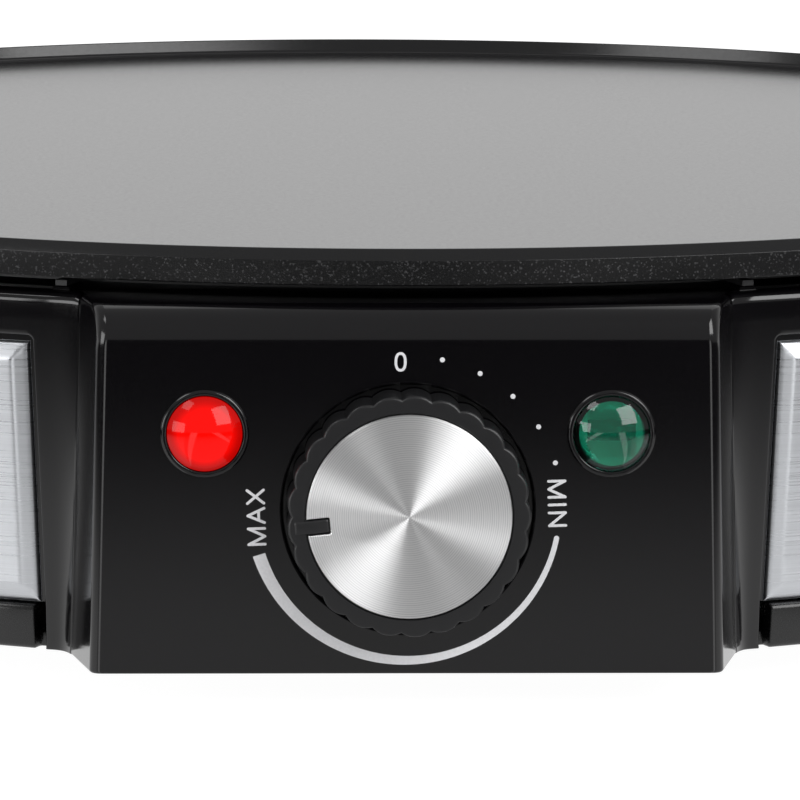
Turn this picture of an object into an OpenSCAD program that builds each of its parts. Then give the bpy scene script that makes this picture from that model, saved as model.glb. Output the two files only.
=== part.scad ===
// Electric crepe maker: a cast cooking plate on a round moulded base with a front control panel.
// Millimetres, +Z up. The control panel faces -Y and the feet stand on z = 0.

/* [Cooking plate] */
// Diameter of the cooking plate over its rim
plate_d = 300; // [270:1:360]
// Height of the plate's rim, from its underside to the top of the lip
rim_h = 5.3; // [4.8:0.1:7]
// Height of the lip above the cooking surface
lip_h = 2.4; // [1.5:0.1:3]
// Width of the land on top of the lip
lip_land = 0.5; // [0.3:0.1:1.5]
// Chamfer on the outside of the lip
lip_chamfer = 1.6; // [0.8:0.1:2]
// Width of the slope on the inside of the lip
lip_slope = 1; // [0.5:0.1:2]
// Thickness of the plate under the cooking surface
plate_t = 4.5; // [4:0.1:6]
// Distance of the tie screws inside the heat shield's wall
tie_inset = 15.5; // [12:0.5:25]
// Radius of a tie screw boss
tie_boss_r = 5; // [4:0.1:6]
// Radius of a tie screw
tie_screw_r = 2; // [1.5:0.1:2.5]

/* [Heating element] */
// Radius of the heating element's ring
element_ring_r = 92; // [80:1:98]
// Radius of the sheathed tube
element_r = 3.25; // [2.5:0.05:4]
// Height of the cast rib that holds the element
element_rib_h = 2.5; // [1.5:0.1:3.5]
// Angle left open between the two ends of the ring
element_open = 24; // [16:1:40]

/* [Heat shield] */
// Thickness of the heat shield's sheet
shield_t = 0.8; // [0.5:0.1:1]
// Depth of the shield's dish under its flange
shield_depth = 11; // [9:0.5:14]
// Number of support lugs round the shield
lug_count = 9; // [3:2:15]
// Width of a support lug
lug_w = 1.8; // [1.2:0.1:6]
// Angle of the first lug from the front
lug_angle = 20.4; // [12:0.1:20.5]
// Height of the pad under each lug
lug_pad_h = 0.6; // [0.3:0.1:0.8]

/* [Base] */
// Height of the base, without its feet
base_h = 54.6; // [54:0.1:70]
// Gap between the base and the plate's rim
plate_gap = 2.3; // [2:0.1:4]
// How far the plate's rim stands out over the base
overhang = 2; // [1:0.1:5]
// How much the base's radius shrinks down to its bottom
base_draft = 2.5; // [0:0.1:5]
// Thickness of the moulded walls
wall_t = 2.4; // [2:0.1:3]
// Rounding of the base's top edge
shoulder_r = 1.8; // [0.8:0.1:2.2]
// Width of the deck inside the base's top edge
deck_w = 12; // [11:0.5:13]
// Height of the base pan's rim
rim_band_h = 7; // [5:0.1:9]
// Thickness of the base pan's floor
floor_t = 2.2; // [1.8:0.1:3]
// Width of each column beside the control panel
column_w = 2.6; // [2:0.1:8]
// Half of the angle of the pillar at the rear
rear_pillar = 10; // [7:0.5:16]
// Radius of a housing screw
case_screw_r = 1.75; // [1.25:0.05:2]
// Number of vents in the base pan
vent_count = 24; // [12:2:32]
// Width of a vent
vent_w = 3; // [2:0.1:4]
// Length of a vent
vent_l = 22; // [12:1:26]

/* [Steel trims] */
// Height of a trim
trim_h = 39.6; // [30:0.1:42]
// Depth of the seat that holds a trim
trim_depth = 1.6; // [1.2:0.1:1.8]
// Width of the bevel round a trim
trim_bevel_w = 2.6; // [1:0.1:4]
// Depth of the bevel round a trim
trim_bevel_d = 0.8; // [0.3:0.1:0.9]
// Gap round a trim
trim_gap = 0.7; // [0.3:0.1:1.2]

/* [Feet] */
// Height of the feet
foot_h = 6; // [4:0.5:14]
// Radius of a foot
foot_r = 9; // [7:0.5:11]
// Radius at which the feet stand
foot_place_r = 112; // [100:1:118]
// Angle of the front feet from the front
foot_angle = 38; // [32:1:44]

/* [Control panel] */
// Width of the panel's face at the top
panel_w_top = 90.3; // [86:0.1:96]
// Width of the panel's face at the bottom
panel_w_bottom = 92.4; // [88:0.1:98]
// Step from the base's top edge down to the panel's top
panel_drop = 0.2; // [0.1:0.1:2.6]
// How far the panel's face stands in front of the plate's rim
panel_proud = 5; // [3:0.1:12]
// Angle at which the panel's sides spread towards the base
panel_flare = 14; // [8:0.5:18]
// Radius of the roll from the panel's face to its top
roll_r = 5; // [3:0.1:7]
// Rounding of the panel's upright edges
panel_corner_r = 1.8; // [0.8:0.1:3]
// Clearance between the panel and the base
panel_fit = 0.25; // [0.2:0.05:0.5]

/* [Knob] */
// Height of the knob's axis over the base's bottom edge
knob_z = 24.6; // [23:0.1:27]
// Radius of the knob at the tips of its lobes
knob_r = 17.7; // [16:0.1:20]
// Depth of the notches between the lobes
lobe_depth = 0.45; // [0.2:0.05:0.8]
// Number of lobes
lobe_count = 25; // [12:1:36]
// How far the knob's cap stands in front of the panel
knob_proud = 7.5; // [7:0.1:12]
// Radius of the metal cap
cap_r = 15; // [12:0.05:15.2]
// Thickness of the metal cap
cap_t = 1; // [0.6:0.1:1.4]
// Rounding of the knob's front edge
knob_round = 1.5; // [0.5:0.1:2]
// Width of the pointer bar
pointer_w = 2.1; // [1.2:0.1:4]
// Length of the pointer bar inside the cap's edge
pointer_l = 3.3; // [2:0.1:6]
// Clock angle of the pointer at the highest heat
max_angle = 264; // [240:1:300]
// Clearance round the knob in its recess
recess_fit = 0.8; // [0.4:0.1:2]
// Depth of the recess behind the knob
recess_depth = 1.2; // [0.6:0.1:1.6]
// Radius of the thermostat's shaft
shaft_r = 3; // [2.5:0.05:3.5]
// Flat cut off the shaft's front end
shaft_flat = 1.2; // [0.6:0.1:1.5]
// Running clearance of the shaft in its bush
shaft_fit = 0.05; // [0.02:0.01:0.1]

/* [Pilot lights] */
// Distance of each light from the knob's axis, sideways
lamp_x = 29.8; // [27:0.1:33]
// Height of the lights over the knob's axis
lamp_up = 11.2; // [8:0.1:13]
// Radius of a lens
lens_r = 5.5; // [4.5:0.05:6]
// Height of a lens's dome
dome_h = 2.4; // [1.2:0.1:3.5]
// Width of the rim round a lens
lamp_rim_w = 1.05; // [0.6:0.05:1.5]
// How far the rim stands in front of the face
lamp_rim_h = 0.6; // [0.3:0.1:1.2]

/* [Cord inlet] */
// Radius of the grommet's bore
cord_r = 3.6; // [3:0.1:4.5]
// Height of the inlet over the base's bottom edge
inlet_z = 17; // [15:0.5:24]

/* [Hidden] */
$fn = 96;

// Small clearance between pieces that are fitted together and don't move
fit = 0.05;
// Clearance between loose pieces
loose = 0.3;
// Overlap that carries a join into its neighbour, or a cut just past a face
eps = 0.1;
// Length that a through cut runs past its faces
past = 1;
// Width that the heads of the small screws stand out over their shanks
head_out = 1.4;
// Height of the heads of the small screws
head_h = 1.8;
// Radius of the small machine screws
small_screw_r = 1.5;
// Radius of the screws that hold the control panel
panel_screw_r = 1.5;

// Heights
base_z = foot_h;
base_top = base_z + base_h;
rim_under = base_top + plate_gap;
lip_top = rim_under + rim_h;
surface_z = lip_top - lip_h;
plate_under = surface_z - plate_t;
floor_top = base_z + floor_t;
panel_h = base_h - panel_drop;
panel_top = base_z + panel_h;
knob_axis_z = base_z + knob_z;
lamp_z = knob_axis_z + lamp_up;

// Radii
plate_r = plate_d / 2;
top_r = plate_r - overhang;
bottom_r = top_r - base_draft;
deck_r = top_r - deck_w;

// Depths, as y on the plate's axis
face_y = -(plate_r + panel_proud);
flare = tan(panel_flare);
opening_x = panel_w_bottom / 2 + flare * (panel_proud + overhang + base_draft + wall_t);
bulkhead_t = wall_t;
bulkhead_y = -sqrt(pow(bottom_r - wall_t, 2) - pow(opening_x, 2));
panel_depth = bulkhead_y - face_y;
panel_back_x = panel_w_bottom / 2 + flare * panel_depth;
dish_r = -bulkhead_y - bulkhead_t - 0.5;
core_r = dish_r - shield_t - 1.2;
tie_r = dish_r - tie_inset;
reach_front = -face_y + knob_proud;
reach_back = plate_r;
axis_y = (reach_front - reach_back) / 2;

// Angles from the front
column_angle = asin((panel_back_x + column_w) / bottom_r);
seat_start = column_angle;
seat_end = 180 - rear_pillar;
function arc_deg(gap) = gap / bottom_r * 180 / PI;

// Radius of the base's outer wall at a height
function base_r(z) = bottom_r + base_draft * (z - base_z) / base_h;

// Every solid is drawn about the plate's axis and then placed so that the whole part is centred
module placed() {
    translate([0, axis_y, 0]) children();
}

// Turns +X to an angle from the front, towards +X
module at_angle(a) {
    rotate([0, 0, a - 90]) children();
}

// Local +Z points from the panel's face into the base, and z = 0 lies on the face
module behind_face(x, z, s) {
    translate([x, face_y + s, z]) rotate([-90, 0, 0]) children();
}

// Turns local +X to a clock angle, as seen from the front
module clock(a) {
    rotate([0, 0, a - 90]) children();
}

module ring(inner, outer, h) {
    difference() {
        cylinder(r = outer, h = h);
        translate([0, 0, -eps]) cylinder(r = inner, h = h + 2 * eps);
    }
}

// A revolved part of a profile, from one angle to another
module sector(from, to) {
    at_angle(from) rotate_extrude(angle = to - from, $fn = 256) children();
}

module mirrored() {
    children();
    mirror([1, 0, 0]) children();
}

// Pan head screw whose head sits on z = 0 and whose shank goes up
module screw(r, length, head_r, head_h) {
    slot_w = head_r * 0.28;
    cylinder(r = r, h = length, $fn = 32);
    difference() {
        translate([0, 0, -head_h]) cylinder(r = head_r, h = head_h, $fn = 48);
        for (a = [0, 90])
            rotate([0, 0, a])
                translate([-head_r * 0.6, -slot_w / 2, -head_h - eps])
                    cube([head_r * 1.2, slot_w, head_h * 0.6 + eps]);
    }
}

// ---------------------------------------------------------------- cooking plate

tie_angles = [60, 180, 300];
// Slope of the cast underside between its core and the rim
core_slope = 1.5;
boss_bottom = base_top + lug_pad_h + 2 * shield_t - shield_depth;
tie_hole_depth = 9;

module cooking_plate() {
    color("#2b2b2d") placed() difference() {
        union() {
            rotate_extrude($fn = 256)
                polygon([
                    [0, plate_under],
                    [core_r, plate_under],
                    [core_r + core_slope, rim_under],
                    [plate_r, rim_under],
                    [plate_r, lip_top - lip_chamfer],
                    [plate_r - lip_chamfer, lip_top],
                    [plate_r - lip_chamfer - lip_land, lip_top],
                    [plate_r - lip_chamfer - lip_land - lip_slope, surface_z],
                    [0, surface_z]]);
            translate([0, 0, plate_under - element_rib_h])
                ring(element_ring_r - 2 * element_r, element_ring_r + 2 * element_r, element_rib_h + eps);
            for (a = tie_angles)
                at_angle(a) translate([tie_r, 0, boss_bottom])
                    cylinder(r = tie_boss_r, h = plate_under - boss_bottom + eps);
        }
        rotate_extrude($fn = 256)
            translate([element_ring_r, element_z]) circle(r = element_r + fit, $fn = 48);
        for (a = tie_angles)
            at_angle(a) translate([tie_r, 0, boss_bottom - eps])
                cylinder(r = tie_screw_r + fit, h = tie_hole_depth + eps, $fn = 32);
    }
}

// ---------------------------------------------------------------- heating element

element_z = plate_under - element_rib_h;
element_end_angles = [180 - element_open / 2, 180 + element_open / 2];
leg_drop = 8;
leg_bottom = boss_bottom - shield_t - leg_drop;
pin_r = 1.2;
pin_length = 9;

module heating_element() {
    color("#6f6a64") placed() {
        sector(element_end_angles[1], element_end_angles[0] + 360)
            translate([element_ring_r, element_z]) circle(r = element_r, $fn = 48);
        for (a = element_end_angles)
            at_angle(a) translate([element_ring_r, 0, 0]) {
                translate([0, 0, element_z]) sphere(r = element_r, $fn = 48);
                translate([0, 0, leg_bottom])
                    cylinder(r = element_r, h = element_z - leg_bottom, $fn = 48);
            }
    }
}

module element_pins() {
    color("#b9b4a8") placed() for (a = element_end_angles)
        at_angle(a) translate([element_ring_r, 0, leg_bottom - pin_length])
            cylinder(r = pin_r, h = pin_length, $fn = 32);
}

// ---------------------------------------------------------------- heat shield

flange_under = base_top + lug_pad_h;
flange_r = deck_r + 4;

function lug_angles() = concat(
    [lug_angle, -lug_angle],
    [for (i = [1 : lug_count - 2]) lug_angle + i * (360 - 2 * lug_angle) / (lug_count - 1)]);

module heat_shield() {
    color("#a9aaab") placed() difference() {
        union() {
            rotate_extrude($fn = 256) polygon([
                [0, boss_bottom - shield_t],
                [dish_r, boss_bottom - shield_t],
                [dish_r, flange_under + shield_t / 2],
                [dish_r - shield_t, flange_under + shield_t / 2],
                [dish_r - shield_t, boss_bottom],
                [0, boss_bottom]]);
            translate([0, 0, flange_under]) linear_extrude(shield_t) difference() {
                union() {
                    circle(r = flange_r, $fn = 256);
                    for (a = lug_angles())
                        at_angle(a) translate([dish_r, -lug_w / 2])
                            square([top_r - shoulder_r - dish_r, lug_w]);
                }
                circle(r = dish_r - shield_t, $fn = 256);
            }
        }
        for (a = tie_angles)
            at_angle(a) translate([tie_r, 0, boss_bottom - shield_t - eps])
                cylinder(r = tie_screw_r + loose, h = shield_t + 2 * eps, $fn = 32);
        for (a = element_end_angles)
            at_angle(a) translate([element_ring_r, 0, boss_bottom - shield_t - eps])
                cylinder(r = element_r + loose, h = shield_t + 2 * eps, $fn = 48);
        for (p = [fuse_screw_at, earth_at])
            translate([p[0], p[1], boss_bottom - shield_t - eps])
                cylinder(r = small_screw_r + fit, h = shield_t + 2 * eps, $fn = 32);
    }
}

// ---------------------------------------------------------------- tie screws

tie_head_h = 2.6;
tie_head_r = tie_screw_r + 1.8;
tie_head_sunk = 1.4;
tie_seat = base_z + tie_head_h + tie_head_sunk;
tie_tip_gap = 1;

module tie_screws() {
    color("#c3c4c6") placed() for (a = tie_angles)
        at_angle(a) translate([tie_r, 0, tie_seat])
            screw(tie_screw_r, boss_bottom + tie_hole_depth - tie_tip_gap - tie_seat,
                tie_head_r, tie_head_h);
}

// ---------------------------------------------------------------- housing

deck_t = 2.2;
case_boss_r = case_screw_r + 2.6;
case_boss_place = bottom_r - wall_t - case_boss_r - 2 * loose;
case_rib_t = 2;
case_angles = [29, 128, 232, 331];
case_head_h = 2;
case_head_sunk = 0.6;
case_seat = base_z + case_head_h + case_head_sunk;
case_boss_z = case_seat + floor_t;
trim_bottom = base_z + rim_band_h;
trim_top = trim_bottom + trim_h;
trim_lug_angles = [40, 90, 140];
trim_lug_w = 8;
trim_lug_z = trim_bottom + trim_h / 2;
inlet_axis_z = base_z + inlet_z;
grommet_r = cord_r + 2.4;
window_x = lamp_x + lens_r + lamp_rim_w + 3.5;
window_low = base_z + 7;
window_high = panel_top - 6;
panel_boss_x = panel_w_bottom / 2 - wall_t - panel_screw_r - 2.2;
panel_boss_z = [base_z + floor_t + panel_screw_r + 3, panel_top - wall_t - panel_screw_r - 2.6];

// Outer wall with its rounded shoulder, and the deck inside it
module housing_profile() {
    polygon([
        [bottom_r - wall_t, base_z],
        [bottom_r, base_z],
        [base_r(base_top - shoulder_r), base_top - shoulder_r],
        [top_r - shoulder_r, base_top],
        [deck_r, base_top],
        [deck_r, base_top - deck_t],
        [top_r - wall_t, base_top - deck_t]]);
    translate([base_r(base_top - shoulder_r) - shoulder_r, base_top - shoulder_r])
        circle(r = shoulder_r, $fn = 48);
}

// Band of the outer wall between two heights, from a depth under its surface outwards
module wall_band(low, high, depth) {
    polygon([
        [base_r(low) - depth, low],
        [base_r(low) + 2, low],
        [base_r(high) + 2, high],
        [base_r(high) - depth, high]]);
}

// Thickness of the slices that a hull joins
slice = 0.01;
// Heights on the roll over the panel's face, each with its depth behind the face
roll_levels = [for (a = [0 : 15 : 90])
    [panel_top - roll_r + roll_r * sin(a), roll_r * (1 - cos(a))]];

// Outside of the control panel as one rounded block; grow widens it for the opening in the base
module panel_block(grow) {
    low = base_z - past;
    high = panel_top + 3 * past;
    back = grow > 0 ? bulkhead_y : bulkhead_y - panel_fit;
    levels = grow > 0 ? [[low, 0], [high, 0]] : concat([[base_z, 0]], roll_levels);
    hull() for (l = levels, side = [-1, 1]) {
        half = half_face(l[0]);
        translate([side * (half + flare * l[1] - panel_corner_r), face_y + panel_corner_r + l[1], l[0]])
            cylinder(r = panel_corner_r + grow, h = slice, $fn = 32);
        translate([side * (half + flare * (back - face_y) - 0.5 + grow) - 0.5, back - 1, l[0]])
            cube([1, 1, slice]);
    }
}

// Half of the width of the panel's face at a height
function half_face(z) =
    (panel_w_bottom + (panel_w_top - panel_w_bottom) * (z - base_z) / panel_h) / 2;

module housing() {
    color("#0d0d0f") placed() difference() {
        union() {
            difference() {
                rotate_extrude($fn = 256) housing_profile();
                panel_block(panel_fit);
                mirrored() {
                    sector(seat_start, seat_end)
                        wall_band(trim_bottom, trim_top + trim_gap, trim_depth);
                    sector(seat_start, seat_end)
                        wall_band(base_z - 1, trim_bottom + eps, wall_t + 2);
                }
                translate([-panel_back_x, -top_r - 1, base_top - deck_t - eps])
                    cube([2 * panel_back_x, top_r + 1 + bulkhead_y, deck_t + 1]);
            }
            translate([-panel_back_x - 1, bulkhead_y, floor_top + loose])
                cube([2 * panel_back_x + 2, bulkhead_t, base_top - deck_t - floor_top - loose + eps]);
            for (a = case_angles)
                at_angle(a) translate([case_boss_place, 0, case_boss_z])
                    cylinder(r = case_boss_r, h = base_top - deck_t - case_boss_z + eps, $fn = 48);
            for (a = case_angles)
                at_angle(a) translate([case_boss_place, -case_rib_t / 2, trim_bottom + 1])
                    cube([case_boss_r + 2 * loose + 1, case_rib_t,
                        base_top - deck_t - trim_bottom - 1 + eps]);
            for (a = lug_angles())
                at_angle(a) translate([deck_r + 4.5, -lug_w / 2 - 0.4, base_top - eps])
                    cube([deck_w - shoulder_r - 5, lug_w + 0.8, lug_pad_h + eps]);
            at_angle(180) translate([base_r(inlet_axis_z) - wall_t - 2, 0, inlet_axis_z])
                rotate([0, 90, 0]) cylinder(r = grommet_r + 2, h = 3, $fn = 64);
        }
        translate([-window_x, bulkhead_y - past, window_low])
            cube([2 * window_x, bulkhead_t + 2 * past, window_high - window_low]);
        for (z = panel_boss_z, side = [-1, 1])
            translate([side * panel_boss_x, bulkhead_y - past, z])
                rotate([-90, 0, 0]) cylinder(r = panel_screw_r + fit, h = bulkhead_t + 2 * past, $fn = 32);
        for (a = case_angles)
            at_angle(a) translate([case_boss_place, 0, case_boss_z - eps])
                cylinder(r = case_screw_r + fit, h = case_screw_l + eps, $fn = 32);
        at_angle(180) translate([bottom_r - 12, 0, inlet_axis_z])
            rotate([0, 90, 0]) cylinder(r = grommet_r + fit, h = 20, $fn = 64);
        for (a = trim_lug_angles)
            mirrored() at_angle(a)
                translate([base_r(trim_lug_z) - wall_t - 2, -trim_lug_w / 2 - loose, trim_lug_z - 1])
                    cube([wall_t + 3, trim_lug_w + 2 * loose, 2]);
    }
}

// ---------------------------------------------------------------- base pan

case_screw_l = 14;
// Gap at the ends of the pan's rim, and the rim's chamfer
rim_band_gap = 1.2;
rim_band_c = 0.6;
// Spread of the foot of a tie screw's post
post_foot = 3;
foot_plug_r = 3;
foot_angles = [foot_angle, 180 - foot_angle, 180 + foot_angle, 360 - foot_angle];
clamp_w = 8;
clamp_at = [0, tie_r + tie_boss_r + post_foot + clamp_w];
clamp_boss_x = cord_r + 6;
clamp_boss_h = inlet_axis_z + 0.5 - floor_top;
block_size = [24, 16, 13];
block_at = [-34, tie_r - tie_boss_r - post_foot - block_size[1] - 4];
block_post_h = 3;

module slot_2d(w, l) {
    translate([-l / 2 + w / 2, -w / 2]) square([l - w, w]);
    for (side = [-1, 1]) translate([side * (l - w) / 2, 0]) circle(r = w / 2, $fn = 32);
}

module base_pan() {
    floor_r = bottom_r - wall_t - loose;
    band_top = trim_bottom - 0.2;
    color("#161618") placed() difference() {
        union() {
            difference() {
                translate([0, 0, base_z]) cylinder(r = floor_r, h = floor_t, $fn = 256);
                translate([-plate_r, -plate_r - 10, base_z - past])
                    cube([plate_d, plate_r + 10 + bulkhead_y, floor_t + 2 * past]);
            }
            mirrored() sector(seat_start + arc_deg(rim_band_gap), seat_end - arc_deg(rim_band_gap))
                polygon([
                    [bottom_r - wall_t - 1, base_z],
                    [bottom_r - rim_band_c, base_z],
                    [bottom_r, base_z + rim_band_c],
                    [base_r(band_top), band_top - rim_band_c],
                    [base_r(band_top) - rim_band_c, band_top],
                    [base_r(band_top) - wall_t, band_top],
                    [bottom_r - wall_t - 1, floor_top - eps]]);
            for (a = tie_angles)
                at_angle(a) translate([tie_r, 0, base_z])
                    cylinder(r = tie_boss_r, h = boss_bottom - shield_t - base_z);
            for (a = tie_angles)
                at_angle(a) translate([tie_r, 0, floor_top - eps])
                    cylinder(r1 = tie_boss_r + post_foot, r2 = tie_boss_r - eps, h = 2 * post_foot);
            for (a = case_angles)
                at_angle(a) translate([case_boss_place, 0, base_z])
                    cylinder(r = case_boss_r, h = case_boss_z - base_z, $fn = 48);
            for (side = [-1, 1])
                translate([clamp_at[0] + side * clamp_boss_x, clamp_at[1], base_z])
                    cylinder(r = 3.5, h = floor_t + clamp_boss_h, $fn = 48);
            translate([clamp_at[0] - 2, clamp_at[1] - 3.5, base_z])
                cube([4, 7, inlet_axis_z - cord_r - 0.3 - base_z]);
            for (sx = [-1, 1])
                translate([block_at[0] + sx * block_size[0] / 4, block_at[1], base_z])
                    cylinder(r = 3, h = floor_t + block_post_h, $fn = 48);
        }
        for (i = [0 : vent_count - 1])
            at_angle((i + 0.5) * 360 / vent_count)
                translate([element_ring_r - vent_l, 0, base_z - past])
                    linear_extrude(floor_t + 2 * past) slot_2d(vent_w, vent_l);
        for (a = tie_angles)
            at_angle(a) translate([tie_r, 0, base_z - past]) {
                cylinder(r = tie_screw_r + loose, h = boss_bottom, $fn = 32);
                cylinder(r = tie_head_r + loose, h = tie_seat - base_z + 1, $fn = 48);
            }
        for (a = case_angles)
            at_angle(a) translate([case_boss_place, 0, base_z - past]) {
                cylinder(r = case_screw_r + loose, h = 2 * floor_t + 5, $fn = 32);
                cylinder(r = case_screw_r + 1.75, h = case_seat - base_z + 1, $fn = 48);
            }
        for (a = foot_angles)
            at_angle(a) translate([foot_place_r, 0, base_z - past])
                cylinder(r = foot_plug_r + fit, h = floor_t + 2, $fn = 48);
        for (side = [-1, 1])
            translate([clamp_at[0] + side * clamp_boss_x, clamp_at[1], floor_top])
                cylinder(r = small_screw_r + fit, h = clamp_boss_h + 1, $fn = 32);
    }
}

module housing_screws() {
    color("#c3c4c6") placed() for (a = case_angles)
        at_angle(a) translate([case_boss_place, 0, case_seat])
            screw(case_screw_r, floor_t + case_screw_l - 1, case_screw_r + 1.6, case_head_h);
}

// ---------------------------------------------------------------- feet

module feet() {
    color("#1d1d1e") placed() for (a = foot_angles)
        at_angle(a) translate([foot_place_r, 0, 0]) rotate_extrude($fn = 64) polygon([
            [0, 0],
            [foot_r - 1.8, 0],
            [foot_r - 1, 0.6],
            [foot_r, foot_h],
            [foot_plug_r, foot_h],
            [foot_plug_r, foot_h + floor_t],
            [foot_plug_r + 1.2, foot_h + floor_t + 0.2],
            [foot_plug_r - 0.8, foot_h + floor_t + 2.6],
            [0, foot_h + floor_t + 2.6]]);
}

// ---------------------------------------------------------------- steel trims

// Pressed steel band that fills the seat on one side: bevelled along its edges and at both ends
module trim_band() {
    low = trim_bottom + 0.1;
    high = trim_top;
    inner = trim_depth - 0.1;
    start = seat_start + arc_deg(trim_gap);
    end = seat_end - arc_deg(trim_gap);
    difference() {
        union() {
            sector(start, end) polygon([
                [base_r(low) - inner, low],
                [base_r(low) - trim_bevel_d, low],
                [base_r(low + trim_bevel_w), low + trim_bevel_w],
                [base_r(high - trim_bevel_w), high - trim_bevel_w],
                [base_r(high) - trim_bevel_d, high],
                [base_r(high) - inner, high]]);
            for (a = trim_lug_angles)
                at_angle(a)
                    translate([base_r(trim_lug_z) - wall_t - 1.5, -trim_lug_w / 2, trim_lug_z - 0.5])
                        cube([wall_t + 1.5 - inner + 0.3, trim_lug_w, 1]);
        }
        end_bevel(start, 1);
        end_bevel(end, -1);
    }
}

// Cuts the sloping edge at one end of a trim
module end_bevel(a, side) {
    slope = atan(trim_bevel_d / trim_bevel_w);
    at_angle(a) translate([bottom_r - trim_bevel_d + base_draft / 2, 0, trim_bottom - 1])
        rotate([0, 0, -side * slope])
            translate([0, side > 0 ? -5 : -trim_bevel_w, 0])
                cube([5, trim_bevel_w + 5, trim_h + 3]);
}

module trim_right() {
    color("#c9cacc") placed() trim_band();
}

module trim_left() {
    color("#c9cacc") placed() mirror([1, 0, 0]) trim_band();
}

// ---------------------------------------------------------------- control panel

recess_r = knob_r + recess_fit;
panel_wall = 2.2;
shaft_hole_r = shaft_r + 1.2;
lamp_hole_r = lens_r + 0.6;
bracket_s = 8;
bracket_t = 1.2;
bracket_screw_grip = 4.6;
bracket_boss = [20, -12];
bracket_boss_r = 3.4;
// Length of a panel screw in its boss
panel_screw_grip = 9;

module panel_hollow() {
    inner = panel_wall;
    back = bulkhead_y + 1;
    hull() for (level = [
            [base_z + floor_t, 0],
            [panel_top - roll_r - 0.6, 0],
            [panel_top - floor_t, roll_r - inner]]) {
        half = half_face(level[0]) - inner;
        translate([-half, face_y + inner + level[1], level[0]]) cube([2 * half, 1, slice]);
        spread = half + flare * (back - face_y - inner);
        translate([-spread, back - 1, level[0]]) cube([2 * spread, 1, slice]);
    }
}

module control_panel() {
    color("#101012") placed() difference() {
        union() {
            difference() {
                panel_block(0);
                panel_hollow();
            }
            behind_face(0, knob_axis_z, panel_wall - eps)
                cylinder(r = recess_r + panel_wall, h = recess_depth + eps);
            for (z = panel_boss_z, side = [-1, 1])
                behind_face(side * panel_boss_x, z, panel_wall - eps)
                    cylinder(r = panel_screw_r + 2, h = panel_depth - panel_wall + eps, $fn = 48);
            for (side = [-1, 1])
                behind_face(side * bracket_boss[0], knob_axis_z + bracket_boss[1], panel_wall - eps)
                    cylinder(r = bracket_boss_r, h = bracket_s - panel_wall + eps, $fn = 48);
        }
        behind_face(0, knob_axis_z, -1) {
            cylinder(r = recess_r, h = recess_depth + 1);
            cylinder(r = shaft_hole_r, h = bracket_s);
        }
        for (side = [-1, 1]) {
            behind_face(side * lamp_x, lamp_z, -1)
                cylinder(r = lamp_hole_r + fit, h = panel_wall + 3, $fn = 64);
            behind_face(side * bracket_boss[0], knob_axis_z + bracket_boss[1], panel_wall + 0.6)
                cylinder(r = small_screw_r + fit, h = bracket_s, $fn = 32);
        }
        for (z = panel_boss_z, side = [-1, 1])
            behind_face(side * panel_boss_x, z, panel_depth - panel_screw_grip - past)
                cylinder(r = panel_screw_r + fit, h = panel_screw_grip + 2 * past, $fn = 32);
    }
}

module panel_screws() {
    color("#c3c4c6") placed() for (z = panel_boss_z, side = [-1, 1])
        behind_face(side * panel_boss_x, z, panel_depth + bulkhead_t)
            mirror([0, 0, 1])
                screw(panel_screw_r, bulkhead_t + panel_screw_grip, panel_screw_r + head_out, head_h);
}

// ---------------------------------------------------------------- knob

cap_gap = 0.25;
cap_raise = 0.3;
knob_front = -knob_proud + cap_raise;
knob_rear = recess_depth - 0.4;
cap_seat = -knob_proud + cap_t;
web_back = cap_seat + 1.6;
hub_r = shaft_r + 2.2;
clip_t = 0.5;

// Outline with rounded lobes that meet in shallow notches
module lobes_2d() {
    step = 180 / lobe_count;
    notch_r = knob_r - lobe_depth;
    half_chord = notch_r * sin(step);
    rise = knob_r - notch_r * cos(step);
    lobe_r = (half_chord * half_chord + rise * rise) / (2 * rise);
    circle(r = notch_r * cos(step));
    for (i = [0 : lobe_count - 1])
        rotate([0, 0, i * 2 * step]) translate([knob_r - lobe_r, 0]) circle(r = lobe_r, $fn = 48);
}

// The shaft's section: round with one flat
module shaft_2d(grow) {
    difference() {
        circle(r = shaft_r + grow, $fn = 64);
        translate([shaft_r - shaft_flat + grow, -shaft_r - 1]) square(2 * shaft_r + 2);
    }
}

module pointer_bar(grow, from, to) {
    clock(max_angle) translate([cap_r - pointer_l - grow, -pointer_w / 2 - grow, from])
        cube([pointer_l + knob_r - cap_r - 0.9 + grow, pointer_w + 2 * grow, to - from]);
}

// Half section whose rounded front corner lies just outside the tips of the lobes
module knob_section() {
    corner = knob_r + fit - knob_round;
    translate([0, knob_front + knob_round])
        square([knob_r + past, knob_rear - knob_front - knob_round]);
    translate([0, knob_front]) square([corner, knob_round + eps]);
    translate([corner, knob_front + knob_round]) circle(r = knob_round, $fn = 48);
}

module knob() {
    color("#0e0e10") placed() behind_face(0, knob_axis_z, 0) difference() {
        intersection() {
            translate([0, 0, knob_front]) linear_extrude(knob_rear - knob_front) lobes_2d();
            rotate_extrude($fn = 128) knob_section();
        }
        difference() {
            translate([0, 0, knob_front - past])
                cylinder(r = cap_r + cap_gap, h = cap_seat - knob_front + past);
            pointer_bar(0, knob_front - 0.15, cap_seat + 1);
        }
        translate([0, 0, web_back]) ring(hub_r, knob_r - 2.6, knob_rear - web_back + 1);
        translate([0, 0, web_back - 0.4]) linear_extrude(knob_rear - web_back + 2) shaft_2d(fit);
        translate([shaft_r - shaft_flat + fit - eps, -2, web_back])
            cube([clip_t + 2 * eps, 4, knob_rear - web_back + 1]);
    }
}

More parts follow.
